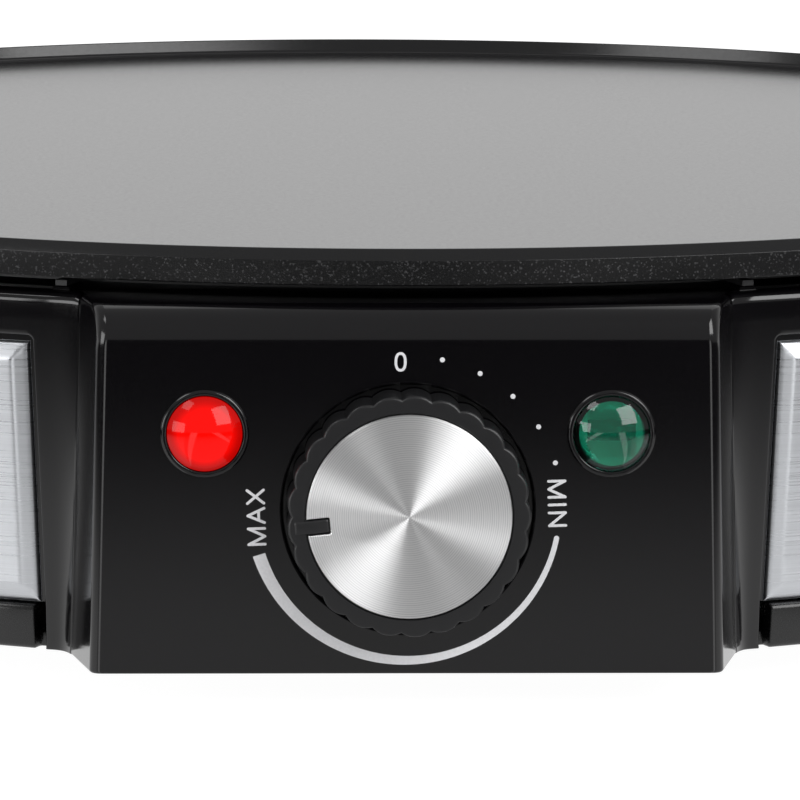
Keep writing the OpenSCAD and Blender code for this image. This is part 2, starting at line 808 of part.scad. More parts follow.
module knob_cap() {
    color("#cfd0d2") placed() behind_face(0, knob_axis_z, 0) difference() {
        rotate_extrude($fn = 128) polygon([
            [0, -knob_proud],
            [cap_r - 0.3, -knob_proud],
            [cap_r, -knob_proud + 0.3],
            [cap_r, cap_seat],
            [0, cap_seat]]);
        pointer_bar(0.12, -knob_proud - 1, cap_seat + 1);
    }
}

module knob_clip() {
    color("#9a9b9d") placed() behind_face(0, knob_axis_z, 0)
        translate([shaft_r - shaft_flat + 2 * fit, -1.9, web_back + 0.2])
            cube([clip_t - fit, 3.8, knob_rear - web_back - 0.4]);
}

// ---------------------------------------------------------------- thermostat

flat_end = recess_depth + 0.3;
bush_front = panel_wall + recess_depth + 1.3;
bush_flange_t = 1.4;
bush_r = shaft_r + 2;
bush_back = bracket_s + bracket_t + bush_flange_t + 4;
frame_s = bracket_s + bracket_t + bush_flange_t;
frame_t = 1.2;
frame_half = 8;
frame_foot = 14;
pin_travel = 0.8;
adjust_r = 1.5;
shaft_end = bush_back - 2;
adjust_start = shaft_end + 0.1;
adjust_end = adjust_start + 7.5;
blade_t = 0.5;
disc_t = 3;
disc_r = 4;
stack_drop = frame_foot - frame_t - disc_r - 0.1;
blade_front = adjust_end + pin_travel + 0.1;
stack_front = blade_front - disc_t;
blade_back = blade_front + blade_t + disc_t;
tab_s = blade_back + blade_t + disc_t;
rivet_r = 1.2;
tag_l = 11;
tag_half = 2;

module thermostat_shaft() {
    color("#a6a7a9") placed() behind_face(0, knob_axis_z, 0) difference() {
        union() {
            translate([0, 0, web_back - 0.2]) linear_extrude(flat_end - web_back + 0.2) shaft_2d(0);
            translate([0, 0, flat_end]) cylinder(r = shaft_r, h = shaft_end - flat_end, $fn = 64);
        }
        translate([0, 0, bush_front - 0.9]) ring(shaft_r - 0.5, shaft_r + 1, 0.8);
    }
}

module shaft_ring() {
    color("#8f9092") placed() behind_face(0, knob_axis_z, bush_front - 0.85)
        ring(shaft_r - 0.45, shaft_r + 1.6, 0.7);
}

module thermostat_bracket() {
    margin = 4;
    color("#b4b5b7") placed() behind_face(0, knob_axis_z, bracket_s) linear_extrude(bracket_t)
        difference() {
            union() {
                translate([-bush_r - margin, -bush_r - margin])
                    square([2 * (bush_r + margin), bush_r + 2 * margin - bracket_boss[1]]);
                translate([-bracket_boss[0] - margin, -bracket_boss[1] - margin])
                    square([2 * (bracket_boss[0] + margin), 2 * margin]);
            }
            circle(r = bush_r + fit, $fn = 64);
            for (side = [-1, 1])
                translate([side * bracket_boss[0], -bracket_boss[1]])
                    circle(r = small_screw_r + fit, $fn = 32);
        }
}

module bracket_screws() {
    color("#c3c4c6") placed() for (side = [-1, 1])
        behind_face(side * bracket_boss[0], knob_axis_z + bracket_boss[1], bracket_s + bracket_t)
            mirror([0, 0, 1])
                screw(small_screw_r, bracket_t + bracket_screw_grip, small_screw_r + head_out, head_h);
}

module thermostat_bush() {
    color("#b79a5b") placed() behind_face(0, knob_axis_z, 0) difference() {
        union() {
            translate([0, 0, bush_front]) cylinder(r = bush_r, h = bush_back - bush_front, $fn = 64);
            translate([0, 0, bracket_s + bracket_t])
                cylinder(r = bush_r + 2.4, h = bush_flange_t, $fn = 64);
        }
        translate([0, 0, bush_front - 1])
            cylinder(r = shaft_r + shaft_fit, h = shaft_end - bush_front + 1 + fit, $fn = 64);
        translate([0, 0, shaft_end - 1]) cylinder(r = adjust_r + shaft_fit, h = 5, $fn = 48);
    }
}

module thermostat_nut() {
    nut_h = 2.6;
    color("#b4b5b7") placed() behind_face(0, knob_axis_z, bracket_s - nut_h) difference() {
        cylinder(r = bush_r * 1.6, h = nut_h, $fn = 6);
        translate([0, 0, -past]) cylinder(r = bush_r + fit, h = nut_h + 2 * past, $fn = 64);
    }
}

// Pressed frame: front plate, foot and an upturned tab that carries the ceramic stack
module thermostat_frame() {
    color("#b4b5b7") placed() behind_face(0, knob_axis_z, 0) difference() {
        union() {
            translate([-frame_half, -bush_r - 4, frame_s])
                cube([2 * frame_half, bush_r + 4 + frame_foot, frame_t]);
            translate([-frame_half, frame_foot - frame_t, frame_s])
                cube([2 * frame_half, frame_t, tab_s + frame_t - frame_s]);
            translate([-disc_r, stack_drop - disc_r, tab_s])
                cube([2 * disc_r, frame_foot - stack_drop + disc_r, frame_t]);
        }
        translate([0, 0, frame_s - past]) cylinder(r = bush_r + fit, h = frame_t + 2 * past, $fn = 64);
        translate([0, stack_drop, tab_s - past])
            cylinder(r = rivet_r + fit, h = frame_t + 2 * past, $fn = 32);
    }
}

module ceramic_stack() {
    color("#e6e2d8") placed() behind_face(0, knob_axis_z, 0)
        for (s = [stack_front, blade_front + blade_t, blade_back + blade_t])
            translate([0, stack_drop, s]) ring(rivet_r + fit, disc_r, disc_t);
}

module contact_blades() {
    reach = 10;
    color("#c08a54") placed() behind_face(0, knob_axis_z, 0)
        for (s = [blade_front, blade_back]) difference() {
            union() {
                translate([-3, -reach, s]) cube([6, reach + stack_drop + disc_r - 1, blade_t]);
                translate([s == blade_front ? 0 : -tag_l, stack_drop - tag_half, s])
                    cube([tag_l, 2 * tag_half, blade_t]);
                translate([0, -reach + 3, s == blade_front ? s + blade_t - eps : s - 0.8])
                    cylinder(r = 1.8, h = 0.8 + eps, $fn = 32);
            }
            translate([0, stack_drop, s - past])
                cylinder(r = rivet_r + fit, h = blade_t + 2 * past, $fn = 32);
        }
}

module stack_rivet() {
    head = 0.8;
    color("#8f9092") placed() behind_face(0, knob_axis_z, 0) translate([0, stack_drop, 0]) {
        translate([0, 0, stack_front]) cylinder(r = rivet_r, h = tab_s + frame_t - stack_front, $fn = 32);
        for (s = [stack_front - head, tab_s + frame_t])
            translate([0, 0, s]) cylinder(r = rivet_r * 2, h = head, $fn = 32);
    }
}

module adjusting_pin() {
    color("#efece4") placed() behind_face(0, knob_axis_z, adjust_start)
        cylinder(r = adjust_r, h = adjust_end - adjust_start, $fn = 48);
}

// ---------------------------------------------------------------- pilot lights

lens_skirt = 6;
lens_wall = 0.9;
barrel_r = lamp_hole_r;
barrel_l = 5;
clip_ring_t = 0.8;
holder_r = lens_r - lens_wall - fit;
holder_s = 0.6;
holder_l = 9;
pocket = 6;
pocket_d = 2.7;
neon_r = 1.1;
neon_l = 3.6;

module lens() {
    dome_r = (lens_r * lens_r + dome_h * dome_h) / (2 * dome_h);
    inner_r = lens_r - lens_wall;
    difference() {
        union() {
            intersection() {
                translate([0, 0, dome_r - dome_h - lamp_rim_h]) sphere(r = dome_r, $fn = 128);
                translate([0, 0, -dome_h - lamp_rim_h - 1])
                    cylinder(r = lens_r, h = dome_h + 1 + eps, $fn = 96);
            }
            translate([0, 0, -lamp_rim_h]) cylinder(r = lens_r, h = lens_skirt + lamp_rim_h, $fn = 96);
        }
        translate([0, 0, -0.4]) cylinder(r = inner_r, h = lens_skirt + 1, $fn = 96);
    }
}

module red_lens() {
    color("#e01010") placed() behind_face(-lamp_x, lamp_z, 0) lens();
}

module green_lens() {
    color("#0a5a48") placed() behind_face(lamp_x, lamp_z, 0) lens();
}

module lamp_rims() {
    color("#0b0b0c") placed() for (side = [-1, 1])
        behind_face(side * lamp_x, lamp_z, 0) difference() {
            union() {
                rotate_extrude($fn = 96) polygon([
                    [lens_r + fit, 0],
                    [lens_r + fit, -lamp_rim_h + 0.2],
                    [lens_r + fit + 0.2, -lamp_rim_h],
                    [lens_r + lamp_rim_w - 0.3, -lamp_rim_h],
                    [lens_r + lamp_rim_w, -lamp_rim_h + 0.3],
                    [lens_r + lamp_rim_w, 0]]);
                translate([0, 0, -eps]) cylinder(r = barrel_r, h = barrel_l + eps, $fn = 96);
            }
            translate([0, 0, -2]) cylinder(r = lens_r + fit, h = barrel_l + 3, $fn = 96);
        }
}

module lamp_clips() {
    color("#a6a7a9") placed() for (side = [-1, 1])
        behind_face(side * lamp_x, lamp_z, panel_wall)
            ring(barrel_r + fit, barrel_r + 1.8, clip_ring_t);
}

module lamp_holders() {
    color("#f0efe9") placed() for (side = [-1, 1])
        behind_face(side * lamp_x, lamp_z, holder_s) difference() {
            cylinder(r = holder_r, h = holder_l, $fn = 64);
            translate([-pocket / 2, -pocket / 2, -past]) cube([pocket, pocket, pocket_d + past]);
        }
}

module neon_lamps() {
    color("#f3e3d4") placed() for (side = [-1, 1])
        behind_face(side * lamp_x, lamp_z, holder_s + pocket_d - neon_r) rotate([0, 90, 0]) {
            translate([0, 0, -neon_l / 2]) cylinder(r = neon_r, h = neon_l, $fn = 48);
            for (end = [-1, 1]) translate([0, 0, end * neon_l / 2]) sphere(r = neon_r, $fn = 48);
        }
}

// ---------------------------------------------------------------- fuse, terminals, earth

under_shield = boss_bottom - shield_t;
fuse_at = [0.5 * element_ring_r, 0.33 * element_ring_r];
fuse_r = 2.2;
fuse_l = 12;
fuse_screw_at = [fuse_at[0] + 9, fuse_at[1]];
fuse_z = under_shield - fuse_r - 0.1;
earth_at = [-0.33 * element_ring_r, 0.33 * element_ring_r];

module thermal_fuse() {
    color("#d8d2c4") placed() translate([fuse_at[0], fuse_at[1], fuse_z]) rotate([-90, 0, 0]) {
        translate([0, 0, -fuse_l / 2]) cylinder(r = fuse_r, h = fuse_l, $fn = 48);
        translate([0, 0, -fuse_l / 2 - 5]) cylinder(r = 0.6, h = fuse_l + 10, $fn = 24);
    }
}

module fuse_clip() {
    clip_w = 6;
    color("#b4b5b7") placed() difference() {
        union() {
            translate([fuse_at[0], fuse_at[1] - clip_w / 2, fuse_z])
                rotate([-90, 0, 0]) cylinder(r = fuse_r + 0.7, h = clip_w, $fn = 48);
            translate([fuse_at[0], fuse_at[1] - clip_w / 2, under_shield - 0.7])
                cube([fuse_screw_at[0] - fuse_at[0] + 4, clip_w, 0.7]);
        }
        translate([fuse_at[0], fuse_at[1] - clip_w / 2 - 1, fuse_z])
            rotate([-90, 0, 0]) cylinder(r = fuse_r + fit, h = clip_w + 2, $fn = 48);
        translate([fuse_at[0] - fuse_r - 2, fuse_at[1] - clip_w, under_shield])
            cube([2 * fuse_r + 20, 2 * clip_w, 5]);
        translate([fuse_screw_at[0], fuse_screw_at[1], under_shield - 2])
            cylinder(r = small_screw_r + fit, h = 4, $fn = 32);
    }
}

// Earth screw, and the screw that holds the fuse's clip
module earth_screw() {
    color("#c3c4c6") placed() {
        translate([earth_at[0], earth_at[1], under_shield])
            screw(small_screw_r, shield_t + 1.6, small_screw_r + head_out, head_h);
        translate([fuse_screw_at[0], fuse_screw_at[1], under_shield - 0.7])
            screw(small_screw_r, shield_t + 2.2, small_screw_r + head_out, head_h);
    }
}

block_z = floor_top + block_post_h;
pole_x = block_size[0] / 4;
wire_hole_r = 1.9;

module terminal_block() {
    color("#e9e7df") placed() difference() {
        translate([block_at[0] - block_size[0] / 2, block_at[1] - block_size[1] / 2, block_z])
            cube(block_size);
        for (side = [-1, 1]) {
            translate([block_at[0] + side * pole_x, block_at[1] - block_size[1], block_z + 5])
                rotate([-90, 0, 0]) cylinder(r = wire_hole_r, h = 2 * block_size[1], $fn = 32);
            for (end = [-1, 1])
                translate([block_at[0] + side * pole_x, block_at[1] + end * block_size[1] / 4, block_z + 5])
                    cylinder(r = small_screw_r + 0.6, h = block_size[2], $fn = 32);
        }
    }
}

module terminal_screws() {
    color("#b79a5b") placed() for (side = [-1, 1], end = [-1, 1])
        translate([block_at[0] + side * pole_x, block_at[1] + end * block_size[1] / 4,
                block_z + block_size[2] - 1])
            mirror([0, 0, 1]) difference() {
                cylinder(r = small_screw_r + 0.6 - fit, h = 5, $fn = 32);
                translate([-3, -0.4, -1]) cube([6, 0.8, 2]);
            }
}

// ---------------------------------------------------------------- internal leads

lead_r = 1.3;
lamp_lead_r = 0.8;
lead_sides = 8;
lead_steps = 4;

// Point on a smooth curve through the route's points
function between(p, i, t) =
    let (a = p[max(i - 1, 0)], b = p[i], c = p[i + 1], d = p[min(i + 2, len(p) - 1)])
    0.5 * (2 * b + (c - a) * t + (2 * a - 5 * b + 4 * c - d) * t * t
        + (3 * b - a - 3 * c + d) * t * t * t);
function smooth(p) = concat(
    [for (i = [0 : len(p) - 2], k = [0 : lead_steps - 1]) between(p, i, k / lead_steps)],
    [p[len(p) - 1]]);
function unit(v) = v / norm(v);
function heading(p, i) = unit(p[min(i + 1, len(p) - 1)] - p[max(i - 1, 0)]);
function flat_out(v, along) = unit(v - (v * along) * along);

// Side vector at each ring, turned on from the one before it so that the tube doesn't twist
function sides(p, i, v) =
    let (next = flat_out(v, heading(p, i)))
    i == len(p) - 1 ? [next] : concat([next], sides(p, i + 1, next));

module lead(route, r) {
    p = smooth(route);
    n = len(p);
    u = sides(p, 0, [0.31, 0.17, 0.93]);
    points = [for (i = [0 : n - 1]) let (w = cross(heading(p, i), u[i]))
        for (k = [0 : lead_sides - 1])
            p[i] + r * (cos(k * 360 / lead_sides) * u[i] + sin(k * 360 / lead_sides) * w)];
    walls = [for (i = [0 : n - 2], k = [0 : lead_sides - 1])
        let (a = i * lead_sides + k, b = i * lead_sides + (k + 1) % lead_sides)
        [a, a + lead_sides, b + lead_sides, b]];
    ends = [[for (k = [0 : lead_sides - past]) k],
        [for (k = [lead_sides - 1 : -1 : 0]) (n - 1) * lead_sides + k]];
    polyhedron(points, concat(walls, ends));
}

// Places that the leads join
tag_z = knob_axis_z - stack_drop;
tag_front = [tag_l - 1, face_y + blade_front + blade_t / 2, tag_z - tag_half - 0.2];
tag_back = [1 - tag_l, face_y + blade_back + blade_t / 2, tag_z - tag_half - 0.2];
pole_left = [block_at[0] - pole_x, block_at[1] - block_size[1] / 2, block_z + 5];
pole_right = [block_at[0] + pole_x, block_at[1] - block_size[1] / 2, block_z + 5];
pin_end = leg_bottom - pin_length - 0.4;
function pin_place(i) = let (a = element_end_angles[i] - 90)
    [element_ring_r * cos(a), element_ring_r * sin(a), pin_end];
fuse_front = [fuse_at[0], fuse_at[1] - fuse_l / 2 - 5.2, fuse_z];
fuse_back = [fuse_at[0], fuse_at[1] + fuse_l / 2 + 5.2, fuse_z];
lead_floor = floor_top + lead_r + 0.4;
// Distance behind the tags at which the leads come down to the floor
lead_turn = 16;
turn_back = [tag_back[0] - 3, tag_back[1] + lead_turn, lead_floor + 1];
turn_front = [tag_front[0] + 3, tag_front[1] + lead_turn, lead_floor + 1];

module lead_live() {
    run = element_ring_r;
    color("#2a2a2c") placed() lead([
        pole_left + [0, 4, 0], pole_left + [0, -8, 0], [-0.5 * run, 0.6 * run, lead_floor + 1],
        [-0.5 * run, 0.2 * run, lead_floor], [-0.4 * run, -0.45 * run, lead_floor],
        [turn_back[0] - 0.1 * run, turn_back[1] + 0.25 * run, lead_floor], turn_back,
        tag_back + [-0.5, 4, -6], tag_back + [0, 0.5, -2.5], tag_back], lead_r);
}

module lead_switched() {
    run = element_ring_r;
    color("#b9562c") placed() lead([
        tag_front, tag_front + [0, 0.5, -2.5], tag_front + [0.5, 5, -6], turn_front,
        [turn_front[0] + 0.1 * run, turn_front[1] + 0.4 * run, lead_floor],
        [0.4 * run, -0.3 * run, lead_floor + 3],
        fuse_front + [1, -16, -18], fuse_front + [0, -4, -1], fuse_front], lead_r);
}

module lead_fused() {
    color("#b9562c") placed() lead([
        fuse_back, fuse_back + [0, 4, -0.5], fuse_back + [-2, 12, -9],
        [0.4 * element_ring_r, 0.8 * element_ring_r, pin_end - 8],
        pin_place(0) + [4, -2, -9], pin_place(0) + [0, 0, -3], pin_place(0)], lead_r);
}

module lead_neutral() {
    color("#3c5f93") placed() lead([
        pole_right + [0, 4, 0], pole_right + [0, -8, 0], pole_right + [6, -9, 4],
        pin_place(1) + [2, -8, -9], pin_place(1) + [0, 0, -4], pin_place(1)], lead_r);
}

module lamp_leads() {
    loop = holder_l * 0.6;
    start_y = face_y + holder_s + holder_l + 0.2;
    color("#d8d4ca") placed() for (side = [-1, 1]) {
        tag = [side * (tag_l + 0.2), side > 0 ? tag_front[1] : tag_back[1], tag_z];
        lead([
            [side * lamp_x, start_y, lamp_z], [side * lamp_x, start_y + loop, lamp_z - 0.1 * loop],
            [side * (lamp_x - loop), start_y + 2 * loop, lamp_z - 1.5 * loop],
            tag + [side * loop, 0, 0.1 * loop], tag], lamp_lead_r);
    }
}

// ---------------------------------------------------------------- cord inlet

grommet_out = base_r(inlet_axis_z);
grommet_flange = 1.6;
clamp_t = 2.4;

// Grommet with a flange on each side of the rear wall
module cord_grommet() {
    wall_in = wall_t + 2;
    grommet_l = wall_in + 2 * grommet_flange;
    color("#1a1a1b") placed() at_angle(180)
        translate([grommet_out - wall_in - grommet_flange, 0, inlet_axis_z]) rotate([0, 90, 0])
            difference() {
                union() {
                    cylinder(r = grommet_r + 1.4, h = grommet_flange, $fn = 64);
                    cylinder(r = grommet_r, h = grommet_l, $fn = 64);
                }
                translate([0, 0, -past]) cylinder(r = cord_r, h = grommet_l + 2 * past, $fn = 64);
            }
}

// Strap over the place where the cord is held
module cord_clamp() {
    strap_z = floor_top + clamp_boss_h;
    color("#e2e0d8") placed() translate([clamp_at[0], clamp_at[1], strap_z]) difference() {
        union() {
            translate([-clamp_boss_x - 4, -clamp_w / 2, 0]) cube([2 * clamp_boss_x + 8, clamp_w, clamp_t]);
            translate([0, -clamp_w / 2, -0.5]) rotate([-90, 0, 0]) difference() {
                cylinder(r = cord_r + 2.4, h = clamp_w, $fn = 64);
                translate([-clamp_boss_x, -0.5, -1]) cube([2 * clamp_boss_x, cord_r + 4, clamp_w + 2]);
            }
        }
        translate([0, -clamp_w, -0.5]) rotate([-90, 0, 0])
            cylinder(r = cord_r + 0.2, h = 2 * clamp_w, $fn = 64);
        for (side = [-1, 1])
            translate([side * clamp_boss_x, 0, -past])
                cylinder(r = small_screw_r + fit, h = clamp_t + 2 * past, $fn = 32);
    }
}

module clamp_screws() {
    color("#c3c4c6") placed() for (side = [-1, 1])
        translate([clamp_at[0] + side * clamp_boss_x, clamp_at[1], floor_top + clamp_boss_h + clamp_t])
            mirror([0, 0, 1]) screw(small_screw_r, 9, small_screw_r + head_out, head_h);
}

cooking_plate();
heating_element();
element_pins();
heat_shield();
tie_screws();
housing();
base_pan();
housing_screws();
feet();
trim_left();
trim_right();
control_panel();
panel_screws();
knob();
knob_cap();
knob_clip();
thermostat_shaft();
shaft_ring();
thermostat_bracket();
bracket_screws();
thermostat_bush();
thermostat_nut();
thermostat_frame();
ceramic_stack();
contact_blades();
stack_rivet();
adjusting_pin();
red_lens();
green_lens();
lamp_rims();
lamp_clips();
lamp_holders();
neon_lamps();
thermal_fuse();
fuse_clip();
terminal_block();
terminal_screws();
earth_screw();
lead_live();
lead_switched();
lead_fused();
lead_neutral();
lamp_leads();
cord_grommet();
cord_clamp();
clamp_screws();
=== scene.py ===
from math import asin, atan2, copysign, cos, degrees, hypot, inf, pi, radians, sin, sqrt, tan, tau

import bmesh
import bpy
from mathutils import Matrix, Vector


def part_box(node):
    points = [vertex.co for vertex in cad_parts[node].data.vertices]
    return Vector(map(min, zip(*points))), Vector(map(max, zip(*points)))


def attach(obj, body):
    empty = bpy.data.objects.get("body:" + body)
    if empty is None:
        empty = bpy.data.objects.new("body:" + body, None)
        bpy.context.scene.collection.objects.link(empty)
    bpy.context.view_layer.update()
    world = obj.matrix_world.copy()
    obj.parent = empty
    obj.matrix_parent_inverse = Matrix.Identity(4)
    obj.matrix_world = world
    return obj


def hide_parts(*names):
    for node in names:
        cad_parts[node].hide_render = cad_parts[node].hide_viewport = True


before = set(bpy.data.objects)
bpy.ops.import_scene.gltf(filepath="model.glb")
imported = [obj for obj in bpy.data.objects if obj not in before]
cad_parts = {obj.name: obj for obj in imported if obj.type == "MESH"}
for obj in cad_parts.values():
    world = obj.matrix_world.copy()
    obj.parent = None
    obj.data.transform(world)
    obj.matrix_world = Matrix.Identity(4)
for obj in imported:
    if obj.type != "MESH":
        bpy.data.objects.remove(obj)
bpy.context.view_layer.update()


# ---------------- camera
# A long lens a little over the cooking surface, close to the middle of the control panel
# and turned slightly to the right.

scene = bpy.context.scene
lens = bpy.data.cameras.new("camera")
lens.sensor_width = 36
lens.lens = 339.372
lens.clip_end = 30
camera = bpy.data.objects.new("camera", lens)
camera.location = (-0.03522, -1.23855, 0.21315)
camera.rotation_euler = (radians(81.3235), radians(-0.2577), radians(-1.747))
scene.collection.objects.link(camera)
scene.camera = camera
scene.view_settings.view_transform = "Standard"


# ---------------- studio
# White table and backdrop, a tall softbox in front on the right, a low and a high one on the left.
# Gloss sees a table that is dark in front and has a white card down each side, and a dim ceiling.

def add(tree, kind, inputs=None, **settings):
    """Adds a node with its settings; an input is a value, or the socket or the node that feeds it."""
    node = tree.nodes.new(kind)
    for name, value in settings.items():
        setattr(node, name, value)
    for name, value in (inputs or {}).items():
        if isinstance(value, bpy.types.Node):
            value = value.outputs[0]
        if isinstance(value, bpy.types.NodeSocket):
            tree.links.new(value, node.inputs[name])
        else:
            node.inputs[name].default_value = value
    return node


world = bpy.data.worlds.new("studio")
scene.world = world
world.use_nodes = True
sky = world.node_tree
sky.nodes.clear()
rays = add(sky, "ShaderNodeLightPath").outputs
seen = add(sky, "ShaderNodeMath",
           {0: rays["Is Camera Ray"], 1: rays["Is Transmission Ray"]}, operation="MAXIMUM")
way = add(sky, "ShaderNodeTexCoord").outputs["Generated"]
axes = add(sky, "ShaderNodeSeparateXYZ", {0: way}).outputs
behind = add(sky, "ShaderNodeMapRange", {0: axes["Y"], 2: 0.7}, interpolation_type="SMOOTHSTEP")
under = add(sky, "ShaderNodeMapRange",
            {0: axes["Z"], 1: 0.35, 2: 0.7, 3: 1.0, 4: 0.0}, interpolation_type="SMOOTHSTEP")
backdrop = add(sky, "ShaderNodeMath", {0: behind, 1: under}, operation="MULTIPLY")
gloss = add(sky, "ShaderNodeMapRange", {0: backdrop, 3: 0.4, 4: 0.87})
dull = add(sky, "ShaderNodeMix", {0: rays["Is Glossy Ray"], 2: 0.45, 3: gloss})
level = add(sky, "ShaderNodeMix", {0: seen, 2: dull, 3: 1.0})
glow = add(sky, "ShaderNodeBackground", {"Color": (1, 1, 1, 1), "Strength": level})
add(sky, "ShaderNodeOutputWorld", {"Surface": glow})

table_mesh = bpy.data.meshes.new("table")
table_mesh.from_pydata([(-4, -4, 0), (4, -4, 0), (4, 4, 0), (-4, 4, 0)], [], [(0, 1, 2, 3)])
table = bpy.data.objects.new("table", table_mesh)
scene.collection.objects.link(table)
paper = bpy.data.materials.new("white_table_paper")
paper.use_nodes = True
sheet = paper.node_tree
sheet.nodes.clear()
rays = add(sheet, "ShaderNodeLightPath").outputs
spot = add(sheet, "ShaderNodeTexCoord").outputs["Object"]
axes = add(sheet, "ShaderNodeSeparateXYZ", {0: spot}).outputs
reach = add(sheet, "ShaderNodeVectorMath", {0: spot}, operation="LENGTH").outputs["Value"]
# Slant of the way to a spot from the nearer end of the panel's face: 0 is straight ahead.
aside = add(sheet, "ShaderNodeMath", {0: axes["X"]}, operation="ABSOLUTE")
aside = add(sheet, "ShaderNodeMath", {0: aside, 1: 0.045}, operation="SUBTRACT")
ahead = add(sheet, "ShaderNodeMath", {0: -0.14875, 1: axes["Y"]}, operation="SUBTRACT")
ahead = add(sheet, "ShaderNodeMath", {0: ahead, 1: 0.001}, operation="MAXIMUM")
slant = add(sheet, "ShaderNodeMath", {0: aside, 1: ahead}, operation="DIVIDE")
ramps = {}
# name, what it follows, where it starts and ends, and its level or share at both
for name, source, start, end, first, last in (
        ("fade", reach, 0.2, 0.48, 0.6, 0.03), ("beside", reach, 0.19, 0.42, 1.1, 0.05),
        ("card", slant, 0.25, 0.31, 0.0, 1.0), ("far", slant, 0.55, 0.65, 0.0, 1.0),
        ("flank", slant, 0.85, 1.0, 0.0, 1.0), ("rear", axes["Y"], -0.05, 0.2, 0.0, 1.0)):
    ramps[name] = add(sheet, "ShaderNodeMapRange", {0: source, 1: start, 2: end, 3: first, 4: last},
                      interpolation_type="SMOOTHSTEP")
mirrored = ramps["fade"]
for share, level in (("card", 2.0), ("far", ramps["fade"]), ("flank", ramps["beside"]), ("rear", 1.0)):
    mirrored = add(sheet, "ShaderNodeMix", {0: ramps[share], 2: mirrored, 3: level})
in_gloss = add(sheet, "ShaderNodeEmission", {"Color": (1, 1, 1, 1), "Strength": mirrored})
lit = add(sheet, "ShaderNodeBsdfDiffuse", {"Color": (0.8, 0.8, 0.8, 1)})
faint = add(sheet, "ShaderNodeBsdfDiffuse", {"Color": (0.3, 0.3, 0.3, 1)})
white = add(sheet, "ShaderNodeEmission", {"Color": (1, 1, 1, 1), "Strength": 0.97})
to_eye = add(sheet, "ShaderNodeAddShader", {0: faint, 1: white})
seen = add(sheet, "ShaderNodeMath",
           {0: rays["Is Camera Ray"], 1: rays["Is Transmission Ray"]}, operation="MAXIMUM")
first = add(sheet, "ShaderNodeMixShader", {0: rays["Is Glossy Ray"], 1: lit, 2: in_gloss})
both = add(sheet, "ShaderNodeMixShader", {0: seen, 1: first, 2: to_eye})
add(sheet, "ShaderNodeOutputMaterial", {"Surface": both})
table_mesh.materials.append(paper)

# name, degrees from the front towards +X, degrees up, distance, width, height, radiance
for name, turn, rise, away, width, height, radiance in (
        ("softbox_right", 42, 33, 1.3, 0.8, 0.85, 5.6),
        ("softbox_left", -58, 6, 1.4, 0.75, 0.5, 4.2),
        ("softbox_high_left", -58, 51, 1.4, 0.45, 0.45, 3.6),
        ("softbox_rear", 160, 50, 1.6, 1.2, 1.0, 0.5)):
    light = bpy.data.lights.new(name, "AREA")
    light.shape = "RECTANGLE"
    light.size = width
    light.size_y = height
    light.energy = radiance * pi * width * height
    lamp = bpy.data.objects.new(name, light)
    turn, rise = radians(turn), radians(rise)
    toward = Vector((sin(turn) * cos(rise), -cos(turn) * cos(rise), sin(rise)))
    lamp.location = Vector((0, 0, 0.04)) + toward * away
    lamp.rotation_euler = toward.to_track_quat("Z", "Y").to_euler()
    scene.collection.objects.link(lamp)


# ---------------- cooking plate
# Die-cast aluminium disc with a low lip that keeps the batter in, sprayed with a black
# non-stick coating. Three screws under it hold it on the heat shield.

low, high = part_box("cooking_plate")
axis_y = (low.y + high.y) / 2


def place(x, y, z):
    """Millimetres from the plate's axis and the table, as metres in the frame."""
    return (x / 1000, y / 1000 + axis_y, z / 1000)


def linear(code):
    """sRGB hex colour as linear RGBA."""
    channels = [int(code[i:i + 2], 16) / 255 for i in (1, 3, 5)]
    return [c / 12.92 if c <= 0.04045 else ((c + 0.055) / 1.055) ** 2.4 for c in channels] + [1]


def finish(name, values):
    """New material whose Principled shader starts from these values; also its tree and that shader."""
    material = bpy.data.materials.new(name)
    material.use_nodes = True
    shader = material.node_tree.nodes["Principled BSDF"]
    for socket, value in values.items():
        shader.inputs[socket].default_value = linear(value) if socket == "Base Color" else value
    return material, material.node_tree, shader


def vary(tree, shader, pattern, tones=None, rough=None, bump=None):
    """Lets a pattern drive the colour and the roughness between two values, and the relief."""
    if tones:
        tone = add(tree, "ShaderNodeMix",
                   {0: pattern, 6: linear(tones[0]), 7: linear(tones[1])}, data_type="RGBA")
        tree.links.new(tone.outputs[2], shader.inputs["Base Color"])
    if rough:
        span = add(tree, "ShaderNodeMapRange", {0: pattern, 1: 0.3, 2: 0.7, 3: rough[0], 4: rough[1]})
        tree.links.new(span.outputs[0], shader.inputs["Roughness"])
    if bump:
        relief = add(tree, "ShaderNodeBump", {"Height": pattern, "Strength": bump[0], "Distance": bump[1]})
        tree.links.new(relief.outputs[0], shader.inputs["Normal"])


def mottled(name, values, scale, detail, **varied):
    """New material varied by one noise, whose scale is its number of grains in a metre."""
    material, tree, shader = finish(name, values)
    spot = add(tree, "ShaderNodeTexCoord").outputs["Object"]
    noise = add(tree, "ShaderNodeTexNoise", {"Vector": spot, "Scale": scale, "Detail": detail})
    vary(tree, shader, noise, **varied)
    return material


def smooth(mesh, sharp=30):
    """Smooth shading under an angle in degrees between faces."""
    mesh.shade_smooth()
    mesh.set_sharp_from_angle(angle=radians(sharp))


def piece(name, shape, material, sharp=30):
    """Mesh object from a shape's points, in millimetres, and faces: doubles merged, normals outward."""
    points, faces = shape
    mesh = bpy.data.meshes.new(name)
    mesh.from_pydata([place(*p) for p in points], [], faces)
    work = bmesh.new()
    work.from_mesh(mesh)
    bmesh.ops.remove_doubles(work, verts=work.verts, dist=2e-7)
    bmesh.ops.recalc_face_normals(work, faces=work.faces)
    work.to_mesh(mesh)
    work.free()
    smooth(mesh, sharp)
    mesh.materials.append(material)
    made = bpy.data.objects.new(name, mesh)
    scene.collection.objects.link(made)
    return made


